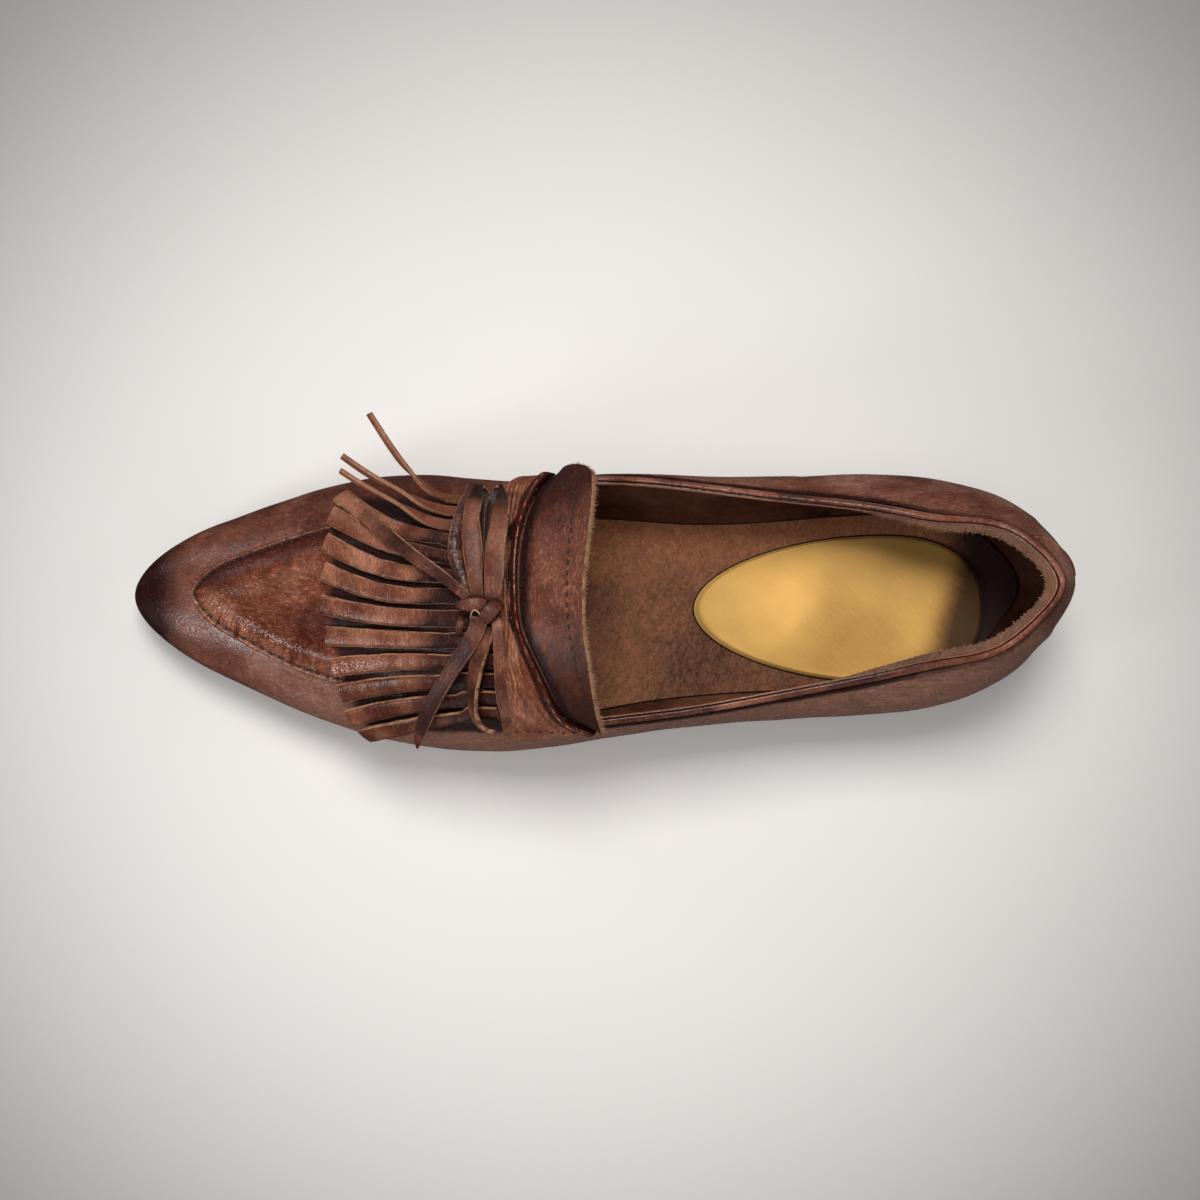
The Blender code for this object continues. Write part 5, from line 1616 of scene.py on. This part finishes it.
def pad_rings(grow):
    """Plan points of the pad drawn out by grow, in rings from its middle to its edge, and each ring's share
    of the way out. The edge is an oval, blunt behind and drawn out in front."""
    angle = np.linspace(0, 2 * np.pi, PAD_SIDES + 1)
    run, side = np.cos(angle), np.sin(angle)
    full = np.where(run > 0, PAD_FRONT_FULL, PAD_BACK_FULL)
    length = np.where(run > 0, PAD_FRONT_X - PAD_WIDE_X, PAD_WIDE_X - PAD_BACK_X) + grow
    reach = (np.abs(run) ** full + np.abs(side) ** full) ** (-1 / full)
    share = np.sin(np.linspace(0, np.pi / 2, PAD_RINGS))[:, None]
    x = PAD_WIDE_X + share * reach * run * length
    y = PAD_Y + share * reach * side * (PAD_HALF_WIDTH + grow)
    return x, y, share


def make_heel_pad(finish):
    """Foil pad on the sock: its rim is pressed down and a thin near-black line, painted shade, shows round
    it.
    """
    x, y, share = pad_rings(0.0)
    level = sole_top(x) + INSOLE_THICK + 2 * GAP
    glued_x, glued_y, _ = pad_rings(PAD_OUTLINE)
    under = np.stack([glued_x, glued_y, level], -1)
    rim = 1 - share**2
    buckle = 0.10 * np.sin(x / 10.0 + 0.6) * np.sin((y - x * 0.5) / 8.0)
    rise = PAD_THICK - 0.35 + 0.35 * smooth_step(0, 0.06, rim) + buckle * smooth_step(0, 0.2, rim)
    top = np.stack([x, y, level + rise], -1)
    # Painted shadow of the heel wall over the back, painted reflections of the foil's buckles as facets,
    # and a paler front as painted light.
    shaded = smooth_step(11.0, -1.0, x - 0.35 * (y - PAD_Y))
    painted_front_facet = smooth_step(-1.5, 1.5, x - 44.0 - 0.9 * (y - PAD_Y))
    painted_facets = painted_front_facet - smooth_step(-1.5, 1.5, x - 26.0 + 1.1 * (y - PAD_Y))
    tone = 0.54 + 0.09 * painted_facets + 0.10 * smooth_step(30.0, 60.0, x) - 1.10 * shaded
    thick_piece(
        "heel_pad_foil", top, under, grid_quads(*x.shape), finish["gold"], ["heel_pad"],
        {"tone": tone},
    )


# Stage, light and camera

CAMERA_PLACE = (105.0, 3.2, 620.0)
FOCAL_PIXELS = 2070.0
FRAME_PIXELS = 1200.0
SENSOR = 36.0
FLOOR_HALF = 1.6
FLOOR_PALE = (0.80, 0.775, 0.755)
FLOOR_DARK = (0.10, 0.098, 0.096)
FLOOR_MIDDLE = (CAMERA_PLACE[0], CAMERA_PLACE[1] + 12.0, 0.0)


def make_floor():
    """A pale floor with a painted pool of light: brightest round the shoe and darker towards the corners of
    the view.
    """
    mesh = bpy.data.meshes.new("floor")
    corners = [(FLOOR_HALF * x, FLOOR_HALF * y, 0) for x, y in ((-1, -1), (1, -1), (1, 1), (-1, 1))]
    mesh.from_pydata(corners, [], [(0, 1, 2, 3)])
    paint = Paint("floor_paper")
    place = {0: paint.millimetres(), 1: FLOOR_MIDDLE}
    place = paint.node("ShaderNodeVectorMath", {"operation": "SUBTRACT"}, place)
    away = paint.node("ShaderNodeVectorMath", {"operation": "LENGTH"}, {0: place}, 1)
    shade = paint.rise(away, 30.0, 300.0) ** 1.5 * 0.85
    colour = paint.mix(shade, FLOOR_PALE, FLOOR_DARK)
    mesh.materials.append(paint.finish(Base_Color=colour, Roughness=0.9, Specular_IOR_Level=0.1))
    floor = bpy.data.objects.new("floor", mesh)
    floor.visible_glossy = False
    bpy.context.scene.collection.objects.link(floor)


def aim(obj, target):
    """Turns a light's or camera's -Z axis to the target."""
    back = unit(np.array(obj.location) - np.array(target))
    side = unit(np.cross([0.0, 1.0, 0.0], back))
    up = np.cross(back, side)
    turned = np.stack([side, up, back], -1)
    obj.rotation_euler = Matrix(turned.tolist()).to_euler()


Lamp = namedtuple("Lamp", "name place size length power colour mirrored")
LAMPS = [
    Lamp("key_light", (0.12, -0.54, 1.20), 0.50, 0.50, 12.8, (1.0, 0.985, 0.96), True),
    Lamp("top_light", (0.10, 0.05, 1.30), 0.70, 0.70, 1.8, (1.0, 1.0, 1.0), False),
    Lamp("ridge_light", (0.36, 0.00, 1.00), 0.02, 1.30, 1.0, (1.0, 1.0, 1.0), True),
    Lamp("lateral_card", (0.08, 0.80, 0.30), 1.00, 0.40, 1.8, (1.0, 0.99, 0.98), True),
    Lamp("medial_card", (0.05, -0.80, 0.30), 1.00, 0.40, 1.2, (1.0, 0.99, 0.98), True),
    Lamp("left_light", (0.72, -0.35, 0.30), 0.14, 0.14, 0.40, (0.97, 0.98, 1.0), True),
    Lamp("sheen_light", (0.66, 0.25, 0.35), 0.14, 0.14, 1.1, (0.97, 0.98, 1.0), True),
    Lamp("heel_light", (-0.70, 0.05, 0.60), 0.25, 0.25, 0.8, (1.0, 1.0, 1.0), True),
]
TARGET = (0.105, 0.003, 0.02)


def make_stage():
    """Floor, soft lamps, a dim world and the camera straight above the shoe."""
    make_floor()
    for lamp in LAMPS:
        light = bpy.data.lights.new(lamp.name, "AREA")
        light.shape = "RECTANGLE"
        light.size = lamp.size
        light.size_y = lamp.length
        light.energy = lamp.power
        light.color = lamp.colour
        obj = bpy.data.objects.new(lamp.name, light)
        obj.location = lamp.place
        obj.visible_glossy = lamp.mirrored
        bpy.context.scene.collection.objects.link(obj)
        aim(obj, TARGET)
    world = bpy.data.worlds.new("studio")
    world.use_nodes = True
    sky = world.node_tree.nodes["Background"]
    sky.inputs["Color"].default_value = (0.97, 0.98, 1.0, 1)
    sky.inputs["Strength"].default_value = 0.06
    bpy.context.scene.world = world
    bpy.context.scene.view_settings.view_transform = "Standard"
    lens = bpy.data.cameras.new("camera")
    lens.sensor_width = SENSOR
    lens.lens = SENSOR * FOCAL_PIXELS / FRAME_PIXELS
    lens.clip_start = 0.01
    camera = bpy.data.objects.new("camera", lens)
    camera.location = tuple(c * MM for c in CAMERA_PLACE)
    camera.rotation_euler = (0, 0, math.pi)
    bpy.context.scene.collection.objects.link(camera)
    bpy.context.scene.camera = camera


def main():
    """Every piece of the shoe, then the stage."""
    finish = make_finishes()
    make_upper(finish)
    make_apron(finish)
    make_saddle(finish)
    make_tongue(finish)
    make_binding(finish)
    make_heel_edge(finish)
    make_fringe(finish)
    make_bow(finish)
    make_sole(finish)
    make_heel_pad(finish)
    make_stage()


main()
